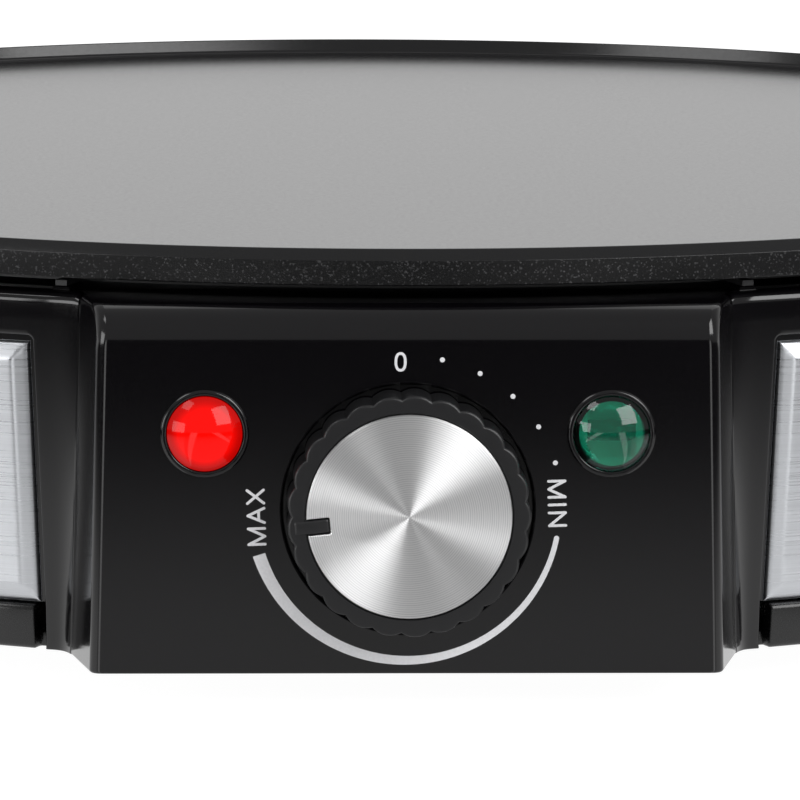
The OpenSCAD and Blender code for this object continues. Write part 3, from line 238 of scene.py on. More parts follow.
def rounded(corners, steps=5):
    """Closed outline through corners (x, y, radius), each turned into an arc."""
    outline = []
    for i, (x, y, radius) in enumerate(corners):
        here = Vector((x, y))
        back = (Vector(corners[i - 1][:2]) - here).normalized()
        on = (Vector(corners[(i + 1) % len(corners)][:2]) - here).normalized()
        if not radius:
            outline.append((x, y))
            continue
        half = back.angle(on) / 2
        middle = here + (back + on).normalized() * radius / sin(half)
        start = here + back * radius / tan(half) - middle
        end = here + on * radius / tan(half) - middle
        sweep = atan2(start.x * end.y - start.y * end.x, start.dot(end))
        for k in range(steps + 1):
            turn = sweep * k / steps
            outline.append((middle.x + start.x * cos(turn) - start.y * sin(turn),
                            middle.y + start.x * sin(turn) + start.y * cos(turn)))
    return outline


def round_turn(steps):
    """Angles at even steps of a full turn, with its end."""
    return [tau * k / steps for k in range(steps + 1)]


def joined(rings, capped=False):
    """Shape of closed rings of equal length joined one to the next; capped adds a face over each end."""
    size, count = len(rings[0]), len(rings[0]) * len(rings)
    faces = []
    for i in range(0, count - size, size):
        faces += [(i + k, i + (k + 1) % size, i + size + (k + 1) % size, i + size + k) for k in range(size)]
    if capped:
        faces += [tuple(range(size)), tuple(range(count - size, count))]
    return [p for ring in rings for p in ring], faces


def together(*shapes):
    """Several shapes as one."""
    points, faces = [], []
    for more_points, more_faces in shapes:
        faces += [tuple(i + len(points) for i in f) for f in more_faces]
        points += more_points
    return points, faces


def turned(outline, steps):
    """Shape of a closed outline (radius, height) turned once about the upright axis."""
    return joined([[(r * sin(a), -r * cos(a), z) for r, z in outline] for a in round_turn(steps)])


def boss(turn, reach, outline):
    """Shape of a closed outline (radius, height) about an upright axis at an angle from the front."""
    x, y = reach * sin(radians(turn)), -reach * cos(radians(turn))
    return joined([[(x + r * cos(t), y + r * sin(t), z) for t in round_turn(32)[:-1]] for r, z in outline])


# PTFE coating over a sprayed primer: satin, a little orange peel, white haze only at a low angle.
nonstick = mottled("nonstick_coating", {"Base Color": "#121213", "Roughness": 0.17, "IOR": 1.45}, 1400.0, 2.0,
                   rough=(0.15, 0.19), bump=(0.05, 0.00004))

# The rim's wall keeps its coarse first coat: here and there a metal flake of about 0.2 mm glints in it.
flaked, tree, shader = finish("flaked_primer", {
    "Base Color": "#060607", "Roughness": 0.4, "IOR": 1.45, "Specular IOR Level": 0.3})
spot = add(tree, "ShaderNodeTexCoord").outputs["Object"]
cells = add(tree, "ShaderNodeTexVoronoi", {"Vector": spot, "Scale": 4600.0}).outputs["Color"]
pick = add(tree, "ShaderNodeSeparateColor", {0: cells}).outputs
flake = add(tree, "ShaderNodeMapRange", {0: pick[0], 1: 0.88})
metal = add(tree, "ShaderNodeMath", {0: flake, 1: 0.7}, operation="MULTIPLY")
tree.links.new(metal.outputs[0], shader.inputs["Metallic"])
vary(tree, shader, flake, tones=("#060607", "#4c4c4d"))
vary(tree, shader, pick[1], bump=(0.5, 0.0002))

plate_r, surface, lip_top, rim_under, core_under, rib_under, chamfer = 150, 65.8, 68.2, 62.9, 61.3, 58.8, 1.6
plate_outline = rounded([
    (0, core_under, 0), (85.5, core_under, 0.4), (85.5, rib_under, 0.4), (88.7, rib_under, 0.3),
    (88.7, core_under, 1.5), (95.3, core_under, 1.5), (95.3, rib_under, 0.3), (98.5, rib_under, 0.4),
    (98.5, core_under, 0.4), (129.5, core_under, 0.4), (131, rim_under, 0.4), (plate_r, rim_under, 0.25),
    (plate_r, lip_top - chamfer, 0.15), (plate_r - chamfer, lip_top, 0.35), (plate_r - 2.1, lip_top, 0.2),
    (plate_r - 3.1, surface, 0.9), (plate_r - 4.4, surface, 0), (0, surface, 0)])
tie_boss = ((2, 61.4), (2, 52), (2.2, 51.8), (4.7, 51.8), (5, 52.1), (5, 61.4), (2, 61.4))
tie_bosses = [boss(a, 116, tie_boss) for a in (60, 180, 300)]
plate = piece("plate", together(turned(plate_outline, 360), *tie_bosses), nonstick)
plate.data.materials.append(flaked)
for face in plate.data.polygons:
    middle = face.center - Vector((0, axis_y, 0))
    if middle.xy.length > (plate_r - 0.15) / 1000 and middle.z < (lip_top - chamfer) / 1000:
        face.material_index = 1
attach(plate, "root")
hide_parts("cooking_plate")


# ---------------- heating element and heat shield
# A steel-sheathed element pressed into the plate's groove, over a pressed steel dish, dark grey as
# painted shade, whose lugs rest on the base. Tie screws pull the plate down on the dish.

def dress(material, *nodes):
    """Gives CAD nodes their finish."""
    for node in nodes:
        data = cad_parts[node].data
        data.materials.clear()
        data.materials.append(material)


# Oxidised stainless sheath: brown-grey, dull, blotched by heat.
sheath = mottled("oxidised_steel_sheath", {"Metallic": 1.0, "Roughness": 0.5}, 90.0, 4.0,
                 tones=("#5c554d", "#86796a"))
dress(sheath, "heating_element")

# Sheet steel coloured dark grey all over, as painted shade for the shaded gap under the plate:
# satin, a fine dry grain of about 0.3 mm.
shield_shade_grey = mottled("shield_painted_shade", {"Roughness": 0.42, "IOR": 1.5}, 3200.0, 3.0,
                      tones=("#232324", "#313132"))
dress(shield_shade_grey, "heat_shield")

# Zinc-plated steel: cool bright grey with a soft cloudy passivation, used by every screw and bracket.
zinc = mottled("zinc_plated_steel", {"Metallic": 1.0, "Roughness": 0.3}, 260.0, 4.0,
               tones=("#aeb3b9", "#d2d3d0"), rough=(0.24, 0.38))
dress(zinc, "element_pins", "tie_screws", "housing_screws", "panel_screws", "knob_clip", "thermostat_shaft",
      "shaft_ring", "thermostat_bracket", "bracket_screws", "thermostat_nut", "thermostat_frame",
      "stack_rivet", "lamp_clips", "fuse_clip", "earth_screw", "clamp_screws")


# ---------------- base housing
# One moulded ring of gloss black plastic: outer wall, rounded shoulder and a deck that carries
# the shield. A column stands on each side of the panel's opening, and a seat is sunk in each
# flank for its steel trim.

# Glass-filled PBT from a polished mould: deep black, clear but slightly soft reflections, long faint waves.
gloss_black, tree, shader = finish("gloss_black_pbt", {
    "Base Color": "#060507", "Roughness": 0.12, "IOR": 1.5})
spot = add(tree, "ShaderNodeTexCoord").outputs["Object"]
wave = add(tree, "ShaderNodeTexNoise", {"Vector": spot, "Scale": 42.0, "Detail": 1.0})
dust = add(tree, "ShaderNodeTexNoise", {"Vector": spot, "Scale": 2600.0, "Detail": 2.0})
vary(tree, shader, dust, rough=(0.1, 0.15))
vary(tree, shader, wave, bump=(0.5, 0.00005))

base_z, base_h, base_top, wall_t, bottom_r, draft = 6, 54.6, 60.6, 2.4, 145.5, 2.5
shoulder_z, shoulder_r = 58.8, 1.8
seat_to, seat_low, seat_high, seat_depth, seat_edge = 170, 13.1, 53.7, 1.6, 0.35
face_y, bulkhead_y, panel_h = -155, -134.39, 54
lean_deg, swell_from = 11.7, 20.95
flare = tan(radians(lean_deg))
# Degrees round the wall that make a millimetre
millimetre = degrees(1 / 146)


def wall_radius(z):
    return bottom_r + draft * (z - base_z) / base_h


def side_x(y, z):
    """Half of the control panel's width at a depth and a height; it narrows by 1.2 mm from its foot up."""
    return 46.45 - 1.2 * (z - base_z) / panel_h + flare * (y - face_y)


def joint_y(z):
    """Depth at which the wall's front edge meets the shoulder on the panel's side."""
    return -139.5 - 1.5 * (z - base_z) / panel_h


def mouth_angle(r, z):
    """Angle from the front at which the wall's inside ends, beside the panel's step."""
    reach = (side_x(0, z) - 0.75) / hypot(1, flare)
    return degrees(asin(reach / r)) - lean_deg


def seat_from(z):
    """Angle from the front at which the trim's seat begins; its end leans outward with the draft."""
    return 21.53 + 0.0111 * (max(z, seat_low) - seat_low)


def lip(inside, radius):
    """How far a rounded edge falls back at a distance inside it."""
    short = max(0, radius - max(inside, 0))
    return radius - sqrt(radius * radius - short * short)


def seat(angle, z):
    """Depth of the trim's seat under the wall: rounded lip, rounded corners, short steep side."""
    across = min(angle - seat_from(z), seat_to - angle) / millimetre
    u, v = 1 - across, 1 - (seat_high - z)
    inside = 1 - hypot(max(u, 0), max(v, 0)) - min(max(u, v), 0)
    if inside <= 0:
        return lip(-inside, seat_edge)
    return min(seat_depth, seat_edge + inside * 16)


def quarter(steps):
    """Sine and cosine at even steps of a quarter turn."""
    return [(sin(a), cos(a)) for a in (pi / 2 * k / steps for k in range(steps + 1))]


# Points of the wall's section from its foot: radius, height, and which way it faces there, out and up.
edge_steps = (-0.8, -0.35, -0.25, -0.16, -0.08, -0.02, 0, 0.08, 0.2, 0.35, 0.5, 0.65, 0.8, 1, 1.5)
heights = [8, 10, 12, 13.1, 16, 20, 28, 36, 44, 50]
heights += [seat_high - s for s in reversed(edge_steps)] + [56, shoulder_z]
section = [(wall_radius(6) - 0.4, 6, 0.7, -0.7), (wall_radius(6) - 0.12, 6.12, 0.9, -0.4),
           (wall_radius(6.4), 6.4, 1, 0)]
section += [(wall_radius(z), z, 1, 0) for z in heights]
section += [(wall_radius(shoulder_z) - shoulder_r + shoulder_r * c, shoulder_z + shoulder_r * s, c, s)
            for s, c in quarter(8)[1:]]
section += [(r, base_top, 0, 1) for r in (143, 139, 136.3)] + [(136, 60.3, 0, 0), (136, 58.4, 0, 0)]
section += [(wall_radius(z) - wall_t, z, 0, 0) for z in (58.4, 50, 36, 20, 13.1, 6)]

# Steps round one half: the wall's end, its swelling edge, the column, the seat's side, the flank.
end_steps = ((-0.75, 0), (-0.3, 0), (-0.1, 0.03), (-0.03, 0.1), (0, 0.2))
half = [("end", i) for i in range(len(end_steps))]
half += [("swell", f) for f in (0.05, 0.1, 0.17, 0.25, 0.35, 0.46, 0.58, 0.7, 0.83, 1)]
half += [("column", f) for f in (0.4, 0.8)]
before_seat = len(half)
half += [("seat", s) for s in edge_steps] + [("turn", 24.5 + 1.5 * i) for i in range(96)]
half += [("turn", seat_to - s * millimetre) for s in reversed(edge_steps)]
half += [("turn", a) for a in (171.5, 173, 175, 177.5)]


def shell_ring(step, kind, value, side):
    """The wall's section at one step of the way round."""
    ring = []
    for r, z, across, up in section:
        level = min(z, shoulder_z)
        tip_x, tip_y = side_x(joint_y(level), level), joint_y(level)
        tip = degrees(atan2(tip_x, -tip_y))
        bulge = hypot(tip_x, tip_y) - wall_radius(level)
        column_end = seat_from(z) + edge_steps[0] * millimetre
        from_end = inf
        if kind == "seat":
            angle = seat_from(z) + value * millimetre
        elif kind == "turn":
            angle = value
        elif not across:
            start = mouth_angle(r, z)
            angle = start + (column_end - start) * step / before_seat
            z -= up * lip((angle - start) / millimetre, 0.4)
        elif kind == "end":
            x, y = tip_x + end_steps[value][0], tip_y + end_steps[value][1]
            angle, from_end = degrees(atan2(x, -y)), 0
            r += hypot(x, y) - wall_radius(level)
        elif kind == "swell":
            angle = tip + (swell_from - tip) * value
            from_end = (angle - tip) / millimetre
            r += bulge * (1 - value) ** 1.85
        else:
            angle = swell_from + (column_end - swell_from) * value
        if across:
            z -= max(up, 0) * lip(from_end, 1.2)
        if kind in ("seat", "turn") and seat_from(z) < angle < seat_to and z < seat_low:
            r, z = r + wall_radius(seat_low) - wall_radius(z), seat_low
            if across:
                r, across = wall_radius(seat_low), 1
        if across == 1:
            r -= seat(angle, z)
        a = radians(angle)
        ring.append((side * r * sin(a), -r * cos(a), z))
    return ring


rings = [shell_ring(i, *half[i], 1) for i in range(len(half))] + [shell_ring(0, "turn", 180, 1)]
rings += [shell_ring(i, *half[i], -1) for i in reversed(range(len(half)))]
# The bulkhead behind the panel, a flat frame round a window for what the panel carries
bulkhead = [[(x * w, y, z) for x, z in ((-1, low), (1, low), (1, high), (-1, high))]
            for w, y, low, high in ((52.3, bulkhead_y, 8.5, 58.5), (52.3, -132, 8.5, 58.5),
                                    (39.85, -132, 13, 54.4), (39.85, bulkhead_y, 13, 54.4),
                                    (52.3, bulkhead_y, 8.5, 58.5))]
screw_boss = ((1.8, 25), (1.8, 10.8), (4.35, 10.8), (4.35, 58.5), (1.8, 58.5), (1.8, 25))
screw_bosses = [boss(a, 138.15, screw_boss) for a in (29, 128, 232, 331)]
shell = piece("base_shell", together(joined(rings, True), joined(bulkhead), *screw_bosses), gloss_black)


def settle(made):
    """Makes what an object's modifiers give its own mesh, and removes them."""
    view = bpy.context.evaluated_depsgraph_get()
    mesh = bpy.data.meshes.new_from_object(made.evaluated_get(view))
    made.modifiers.clear()
    made.data = mesh


def cut(target, shape):
    """Takes a shape out of the target for good, without the doubled slivers that a cut can leave."""
    tool = piece("cutter", shape, target.data.materials[0])
    knife = target.modifiers.new("cut", "BOOLEAN")
    knife.operation = "DIFFERENCE"
    knife.solver = "EXACT"
    knife.use_self = True
    knife.object = tool
    settle(target)
    target.data.validate()
    smooth(target.data)
    bpy.data.objects.remove(tool)


def spun(outline, x, z, steps=96):
    """Shape of a closed outline (radius, depth behind the face) turned about an axis square to the face."""
    return joined([[(x + r * sin(a), face_y + s, z + r * cos(a)) for r, s in outline]
                   for a in round_turn(steps)])


cut(shell, spun([(0, 280), (6.05, 280), (6.05, 310), (0, 310)], 0, 23, 64))
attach(shell, "root")
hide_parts("housing")


def centred(shape, y=0):
    """The shape moved from the plate's axis, or from a depth in front of it, to the middle of the frame."""
    return [(px, py - y - axis_y * 1000, pz) for px, py, pz in shape[0]], shape[1]


def repeated(unit, sizes, layout, material):
    """Runs a Geometry Nodes tree on the unit: layout draws its nodes, and its sizes are named inputs."""
    tree = bpy.data.node_groups.new(unit.name, "GeometryNodeTree")
    face = tree.interface
    face.new_socket("Unit", in_out="INPUT", socket_type="NodeSocketGeometry")
    face.new_socket("Result", in_out="OUTPUT", socket_type="NodeSocketGeometry")
    keys = {}
    for size in sizes:
        keys[size] = face.new_socket(size, in_out="INPUT", socket_type="NodeSocketFloat").identifier
    laid = layout(tree, add(tree, "NodeGroupInput").outputs)
    whole = add(tree, "GeometryNodeRealizeInstances", {"Geometry": laid})
    coated = add(tree, "GeometryNodeSetMaterial", {"Geometry": whole, "Material": material})
    add(tree, "NodeGroupOutput", {"Result": coated})
    maker = unit.modifiers.new(unit.name, "NODES")
    maker.node_group = tree
    for size, value in sizes.items():
        maker[keys[size]] = float(value)
    settle(unit)


def pads_on_deck(tree, given):
    """Points round the deck: the first pad beside the panel, the rest evenly spaced to the other side."""
    number = add(tree, "GeometryNodeInputIndex")
    gaps = add(tree, "ShaderNodeMath", {0: given["Count"], 1: 1.0}, operation="SUBTRACT")
    room = add(tree, "ShaderNodeMath", {0: given["First angle"], 1: -2.0, 2: tau}, operation="MULTIPLY_ADD")
    step = add(tree, "ShaderNodeMath", {0: room, 1: gaps}, operation="DIVIDE")
    turn = add(tree, "ShaderNodeMath",
               {0: number, 1: step, 2: given["First angle"]}, operation="MULTIPLY_ADD")
    twist = add(tree, "ShaderNodeCombineXYZ", {"Z": turn})
    spots = add(tree, "GeometryNodePoints", {"Count": given["Count"], "Position": (0, axis_y, 0)})
    return add(tree, "GeometryNodeInstanceOnPoints",
               {"Points": spots, "Instance": given["Unit"], "Rotation": twist})


# Small moulded pads under the shield's lugs, the only places where the hot dish touches the plastic.
pad = joined([[(x, y, z) for x, y in ((-w, -out), (w, -out), (w, -back), (-w, -back))]
              for w, out, back, z in ((0, 146.2, 140.5, 60.4), (1.3, 146.2, 140.5, 60.4),
                                      (1.3, 146.2, 140.5, 61), (1.1, 146, 140.7, 61.2),
                                      (0, 146, 140.7, 61.2))])
pads = piece("shield_pads", centred(pad), gloss_black)
repeated(pads, {"Count": 9, "First angle": radians(20.4)}, pads_on_deck, gloss_black)
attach(pads, "root")


# ---------------- base pan and its screws
# Moulded floor with vents under the element. Its raised rim fills the base under each trim,
# and four screws from below hold it to the housing.

# PBT from the same mould shop, left satin: black with a fine spark-eroded grain of about 0.2 mm.
satin_black = mottled("satin_black_pbt", {"Base Color": "#0a0a0b", "Roughness": 0.28, "IOR": 1.5},
                      4500.0, 2.0, rough=(0.22, 0.34), bump=(0.15, 0.00002))


def softened(node, name, material, width):
    """Copy of a CAD node with its doubles merged and its sharp edges rounded by a width in millimetres."""
    work = bmesh.new()
    work.from_mesh(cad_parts[node].data)
    bmesh.ops.remove_doubles(work, verts=work.verts, dist=2e-6)
    bmesh.ops.dissolve_limit(work, angle_limit=radians(0.3), verts=work.verts, edges=work.edges)
    mesh = bpy.data.meshes.new(name)
    work.to_mesh(mesh)
    work.free()
    made = bpy.data.objects.new(name, mesh)
    scene.collection.objects.link(made)
    edge = made.modifiers.new("soft_edges", "BEVEL")
    edge.width = width / 1000
    edge.segments = 2
    edge.limit_method = "ANGLE"
    edge.angle_limit = radians(32)
    edge.use_clamp_overlap = False
    settle(made)
    smooth(made.data, 40)
    made.data.materials.clear()
    made.data.materials.append(material)
    return made


pan = softened("base_pan", "pan", satin_black, 0.35)
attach(pan, "root")
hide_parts("base_pan")


# ---------------- feet
# Four moulded rubber feet that hold the base clear of the table. Each is pushed through a hole
# in the pan and held by its barbed plug.

# Nitrile rubber: near-black grey, matt, with a faint bloom in patches of a few millimetres.
rubber = mottled("nitrile_rubber", {"Roughness": 0.75, "IOR": 1.5}, 300.0, 4.0, tones=("#161617", "#262626"))


def feet_under_pan(tree, given):
    """Four points, mirrored left to right and front to back."""
    number = add(tree, "GeometryNodeInputIndex")
    odd = add(tree, "ShaderNodeMath", {0: number, 1: 2.0}, operation="MODULO")
    row = add(tree, "ShaderNodeMath", {0: number, 1: 1.5}, operation="GREATER_THAN")
    side = add(tree, "ShaderNodeMath", {0: odd, 1: 2.0, 2: -1.0}, operation="MULTIPLY_ADD")
    end = add(tree, "ShaderNodeMath", {0: row, 1: 2.0, 2: -1.0}, operation="MULTIPLY_ADD")
    across = add(tree, "ShaderNodeMath", {0: side, 1: given["Half width"]}, operation="MULTIPLY")
    along = add(tree, "ShaderNodeMath",
                {0: end, 1: given["Half length"], 2: axis_y}, operation="MULTIPLY_ADD")
    corner = add(tree, "ShaderNodeCombineXYZ", {"X": across, "Y": along})
    spots = add(tree, "GeometryNodePoints", {"Count": 4, "Position": corner})
    return add(tree, "GeometryNodeInstanceOnPoints", {"Points": spots, "Instance": given["Unit"]})


foot_outline = rounded([(0, 1.2, 0), (4.6, 1.2, 0.6), (5.2, 0, 0.4), (7.6, 0, 0.8), (8.9, 5.2, 0.5),
                        (8.9, 6, 0.1), (3, 6, 0.1), (3, 8.25, 0.1), (4.1, 8.4, 0.3), (2.4, 10.7, 0.6),
                        (0, 10.7, 0)], 3)
feet = piece("rubber_feet", centred(turned(foot_outline, 48)), rubber)
angle, reach = radians(38), 0.112
repeated(feet, {"Half width": reach * sin(angle), "Half length": reach * cos(angle)}, feet_under_pan, rubber)
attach(feet, "root")
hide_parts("feet")


# ---------------- steel trims
# A band of stainless sheet on each flank, brushed along its length and pressed over a former,
# which leaves a soft sloping border. Three tabs hold it in slots in the housing.

# Brushed 430 stainless: pale neutral grey. Its hairlines run round the base, so that highlights smear up
# and down; they are drawn coarse, about 0.3 mm apart, so that they show.
brushed, tree, shader = finish("brushed_stainless", {
    "Base Color": "#babcbf", "Metallic": 1.0, "Roughness": 0.3,
    "Anisotropic": 0.75, "Anisotropic Rotation": 0.25})
along = add(tree, "ShaderNodeUVMap", uv_map="brushing")
lines = add(tree, "ShaderNodeMapping", {"Vector": along, "Scale": (30.0, 3600.0, 1.0)})
hairs = add(tree, "ShaderNodeTexNoise", {"Vector": lines, "Scale": 1.0, "Detail": 3.0, "Roughness": 0.6})
vary(tree, shader, hairs, tones=("#aaacaf", "#caccd0"), rough=(0.24, 0.38), bump=(0.12, 0.00003))
flow = add(tree, "ShaderNodeTangent", direction_type="UV_MAP", uv_map="brushing")
tree.links.new(flow.outputs[0], shader.inputs["Tangent"])

trim_to, trim_low, trim_high, trim_t = seat_to - 0.7 * millimetre, 13.1, 52.6, 1.5
border_w, border_d = 2.6, 1.0
steps = (0, 0.04, 0.12, 0.25, 0.4, 0.6, 1, 1.5, 2, 2.3, 2.6, 2.9, 3.3)


def trim_from(z):
    """Angle from the front at which the band begins; its end leans as its seat does."""
    return 21.95 + 0.0104 * (z - trim_low)


def pressed(edge):
    """Depth of the trim's face under the wall at a distance from its nearest edge."""
    blend, slope = 0.35, 0
    if edge < border_w - blend:
        slope = border_d * (1 - edge / border_w)
    elif edge < border_w + blend:
        slope = border_d * (border_w + blend - edge) ** 2 / (4 * blend * border_w)
    return slope + lip(edge, 0.6)


levels = [trim_low + s for s in steps] + [20, 26, 33, 40, 46] + [trim_high - s for s in reversed(steps)]
spans = [("near", s * millimetre) for s in steps] + [("from the front", 24.8 + 1.5 * i) for i in range(96)]
spans += [("from the front", trim_to - s * millimetre) for s in reversed(steps)]
for name, node, side in (("trim_right_band", "trim_right", 1), ("trim_left_band", "trim_left", -1)):
    rings = []
    for start, span in spans:
        ring = []
        for z in levels + [trim_high, trim_low]:
            angle = trim_from(z) + span if start == "near" else span
            edge = min(angle - trim_from(z), trim_to - angle) / millimetre
            deep = trim_t
            if len(ring) < len(levels):
                deep = pressed(max(0, min(edge, z - trim_low, trim_high - z)))
            r, a = wall_radius(z) - deep, radians(angle)
            ring.append((side * r * sin(a), -r * cos(a), z))
        rings.append(ring)
    tabs = []
    for a in (radians(40), radians(90), radians(140)):
        tabs.append(joined([[(side * (r * sin(a) + w * cos(a)), w * sin(a) - r * cos(a), z)
                             for w, z in ((-4, 32.4), (4, 32.4), (4, 33.4), (-4, 33.4))]
                            for r in (143.4, 145.9)], True))
    band = piece(name, together(joined(rings, True), *tabs), brushed, 40)
    chart = band.data.uv_layers.new(name="brushing")
    for corner in band.data.loops:
        spot = band.data.vertices[corner.vertex_index].co
        turn = atan2(abs(spot.x), -(spot.y - axis_y))
        chart.data[corner.index].uv = (turn * 0.147, spot.z)
    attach(band, "root")
    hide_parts(node)


# ---------------- control panel
# Gloss black moulding in front of the base: a face that rolls over into its top, flared sides
# that butt against the housing, a recess for the knob and a hole for each pilot light. Four
# screws from inside hold it by its posts.

panel_top, roll_r, corner_r, panel_wall, foot_r = 60.4, 5, 1.8, 2.2, 0.5


def panel_ring(z, inward=0):
    """Outline of the panel at a height, drawn inward at its foot; its corners roll in from lower down."""
    lean, shoulder, below = hypot(1, flare), joint_y(z) - 0.3, panel_top - z
    sides = max(inward, lip(below, 0.8))
    middle = side_x(face_y + corner_r + lip(below, roll_r), z) - corner_r * lean
    right = [(middle * i / 6, face_y + lip(below, roll_r) + inward) for i in (0.5, 2, 4)]
    for k in range(9):
        a = radians(-90 + (90 - lean_deg) * k / 8)
        y = face_y + corner_r + lip(below, roll_r + corner_r * k / 8)
        x = side_x(y, z) - corner_r * lean
        right.append((x + (corner_r - sides) * cos(a), y + (corner_r - inward) * sin(a)))
    for y, inset in ((-144, 0), (shoulder - 0.2, 0), (shoulder - 0.06, 0.06), (shoulder, 0.2), (shoulder, 1),
                     (bulkhead_y - 0.25, 1)):
        right.append((side_x(y, z) - max(sides * lean, inset), y))
    return [(x, y, z) for x, y in right] + [(-x, y, z) for x, y in reversed(right)]


rings = [panel_ring(base_z + foot_r * (1 - c), foot_r * (1 - s)) for s, c in quarter(4)]
rings += [panel_ring(z) for z in (14, 22, 30, 38, 46, 51)]
rings += [panel_ring(panel_top - (roll_r + corner_r) * (1 - s)) for s, c in quarter(16)]
panel = piece("panel", joined(rings, True), gloss_black)

hollow = []
for z, depth in ((8.2, 0), (54.8, 0), (58.2, 2.8)):
    front, back = face_y + panel_wall + depth, bulkhead_y + 1
    hollow.append([(side * (side_x(y, z) - panel_wall), y, z)
                   for side, y in ((1, front), (1, back), (-1, back), (-1, front))])
cut(panel, joined(hollow, True))

knob_z, recess_r, rim_r, lamp_x, lamp_z, clear = 30.6, 18.5, 0.35, 29.8, 41.8, -2
recess = [(0, clear), (recess_r + rim_r, clear)]
recess += [(recess_r + rim_r * (1 - s), rim_r * (1 - c)) for s, c in quarter(6)]
recess += [(recess_r, 0.9), (recess_r - 0.1, 1.12), (recess_r - 0.3, 1.2), (4.2, 1.2), (4.2, 8), (0, 8)]
cut(panel, spun(recess, 0, knob_z, 192))
for side in (-1, 1):
    cut(panel, spun([(0, clear), (6.2, clear), (6.2, 5), (0, 5)], side * lamp_x, lamp_z))
evened = panel.modifiers.new("flat_faces", "WEIGHTED_NORMAL")
evened.keep_sharp = True
settle(panel)
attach(panel, "root")
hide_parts("control_panel")

# Inside the panel: the ring behind the recess, four screw posts and two posts for the thermostat's bracket.
behind_wall = 2.1
inside = [spun([(4.2, behind_wall), (20.7, behind_wall), (20.7, 3.4), (4.2, 3.4)], 0, knob_z)]
for x, z, r, end, hole in ((40.1, 12.7, 3.5, 20.36, 9), (40.1, 53.9, 3.5, 20.36, 9), (20, 18.6, 3.4, 8, 5.2)):
    post = [(0, behind_wall), (r, behind_wall), (r, end), (1.5, end), (1.5, end - hole), (0, end - hole)]
    inside += [spun(post, side * x, z, 40) for side in (-1, 1)]
posts = piece("panel_posts", together(*inside), gloss_black)
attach(posts, "root")


# ---------------- dial marks
# Scale of the thermostat, screen-printed on the panel round the knob: 0, five dots, MIN, a band
# that widens with the heat, MAX.

# Pale grey epoxy ink, 0.02 mm thick: flat and opaque, with slightly uneven cover.
ink = mottled("pale_grey_ink", {"Roughness": 0.55}, 2500.0, 2.0, tones=("#cdcdd0", "#e4e4e6"))
ink_t, pen, cap_h = 0.02, 0.4, 2.42


def printed(outline, proud=ink_t):
    """Shape of a thin print; its outline is in millimetres from the knob's axis, to the right and up."""
    return joined([[(x, face_y + s, knob_z + z) for x, z in outline] for s in (0.01, -proud)], True)


def stroke(start, end):
    """Outline of one pen stroke with round ends."""
    way = atan2(end[1] - start[1], end[0] - start[0])
    outline = []
    for (x, z), first in ((end, -90), (start, 90)):
        for k in range(9):
            a = way + radians(first + 22.5 * k)
            outline.append((x + pen / 2 * cos(a), z + pen / 2 * sin(a)))
    return outline


letters = {
    "M": ((0, 0, 0, 1), (0, 1, 0.5, 0), (0.5, 0, 1, 1), (1, 1, 1, 0)),
    "A": ((0, 0, 0.5, 1), (0.5, 1, 1, 0), (0.17, 0.34, 0.83, 0.34)),
    "X": ((0, 0, 1, 1), (0, 1, 1, 0)),
    "I": ((0, 0, 0, 1),),
    "N": ((0, 0, 0, 1), (0, 1, 1, 0), (1, 0, 1, 1))}
prints = []
# origin, reading direction in degrees, and each letter with its distance along the line and its width
for (x0, z0), way, word in (
        ((-20.9, -5.2), 92, (("M", 0, 2.35), ("A", 3.2, 2.15), ("X", 6.1, 1.95))),
        ((20.6, 4.1), -88.4, (("M", 0, 2.38), ("I", 3.52, 0), ("N", 4.71, 1.9)))):
    c, s = cos(radians(way)), sin(radians(way))
    for letter, start, width in word:
        for x1, y1, x2, y2 in letters[letter]:
            ends = [(start + x * width, y * cap_h) for x, y in ((x1, y1), (x2, y2))]
            line = stroke(*[(x0 + x * c - y * s, z0 + x * s + y * c) for x, y in ends])
            # Strokes that cross lie at four heights, so that no two faces share a plane
            prints.append(printed(line, 0.014 + 0.006 * (len(prints) % 4)))

# The nought: a slightly squared ellipse whose line is as wide as the letters'
ring = [(-1.17 + 0.69 * copysign(abs(cos(a)) ** 0.85, cos(a)),
         21.8 + 1.24 * copysign(abs(sin(a)) ** 0.85, sin(a))) for a in round_turn(40)[:-1]]
inner, outer = [], []
for i, (x, z) in enumerate(ring):
    before, after = ring[i - 1], ring[(i + 1) % 40]
    along = Vector((after[0] - before[0], after[1] - before[1])).normalized() * pen / 2
    outer.append((x + along.y, z - along.x))
    inner.append((x - along.y, z + along.x))
edges = ((outer, 0.01), (outer, -ink_t), (inner, -ink_t), (inner, 0.01), (outer, 0.01))
prints.append(joined([[(x, face_y + s, knob_z + z) for x, z in edge] for edge, s in edges]))

# The band, from its narrow round start to its wide square end
band_r = 21.9
band = [(0.76 + 1.14 * (k / 72) ** 1.15, radians(101.3 + 151.4 * k / 72)) for k in range(73)]
outline = [((band_r + w) * sin(t), (band_r + w) * cos(t)) for w, t in band]
outline += [(band_r * sin(t), band_r * cos(t)) for w, t in reversed(band)]
w, t = band[0]
for a in (t + pi * k / 8 for k in range(1, 8)):
    outline.append(((band_r + w / 2) * sin(t) - w / 2 * sin(a),
                    (band_r + w / 2) * cos(t) - w / 2 * cos(a)))
marks = piece("dial_marks", together(*prints, printed(outline)), ink)
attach(marks, "root")


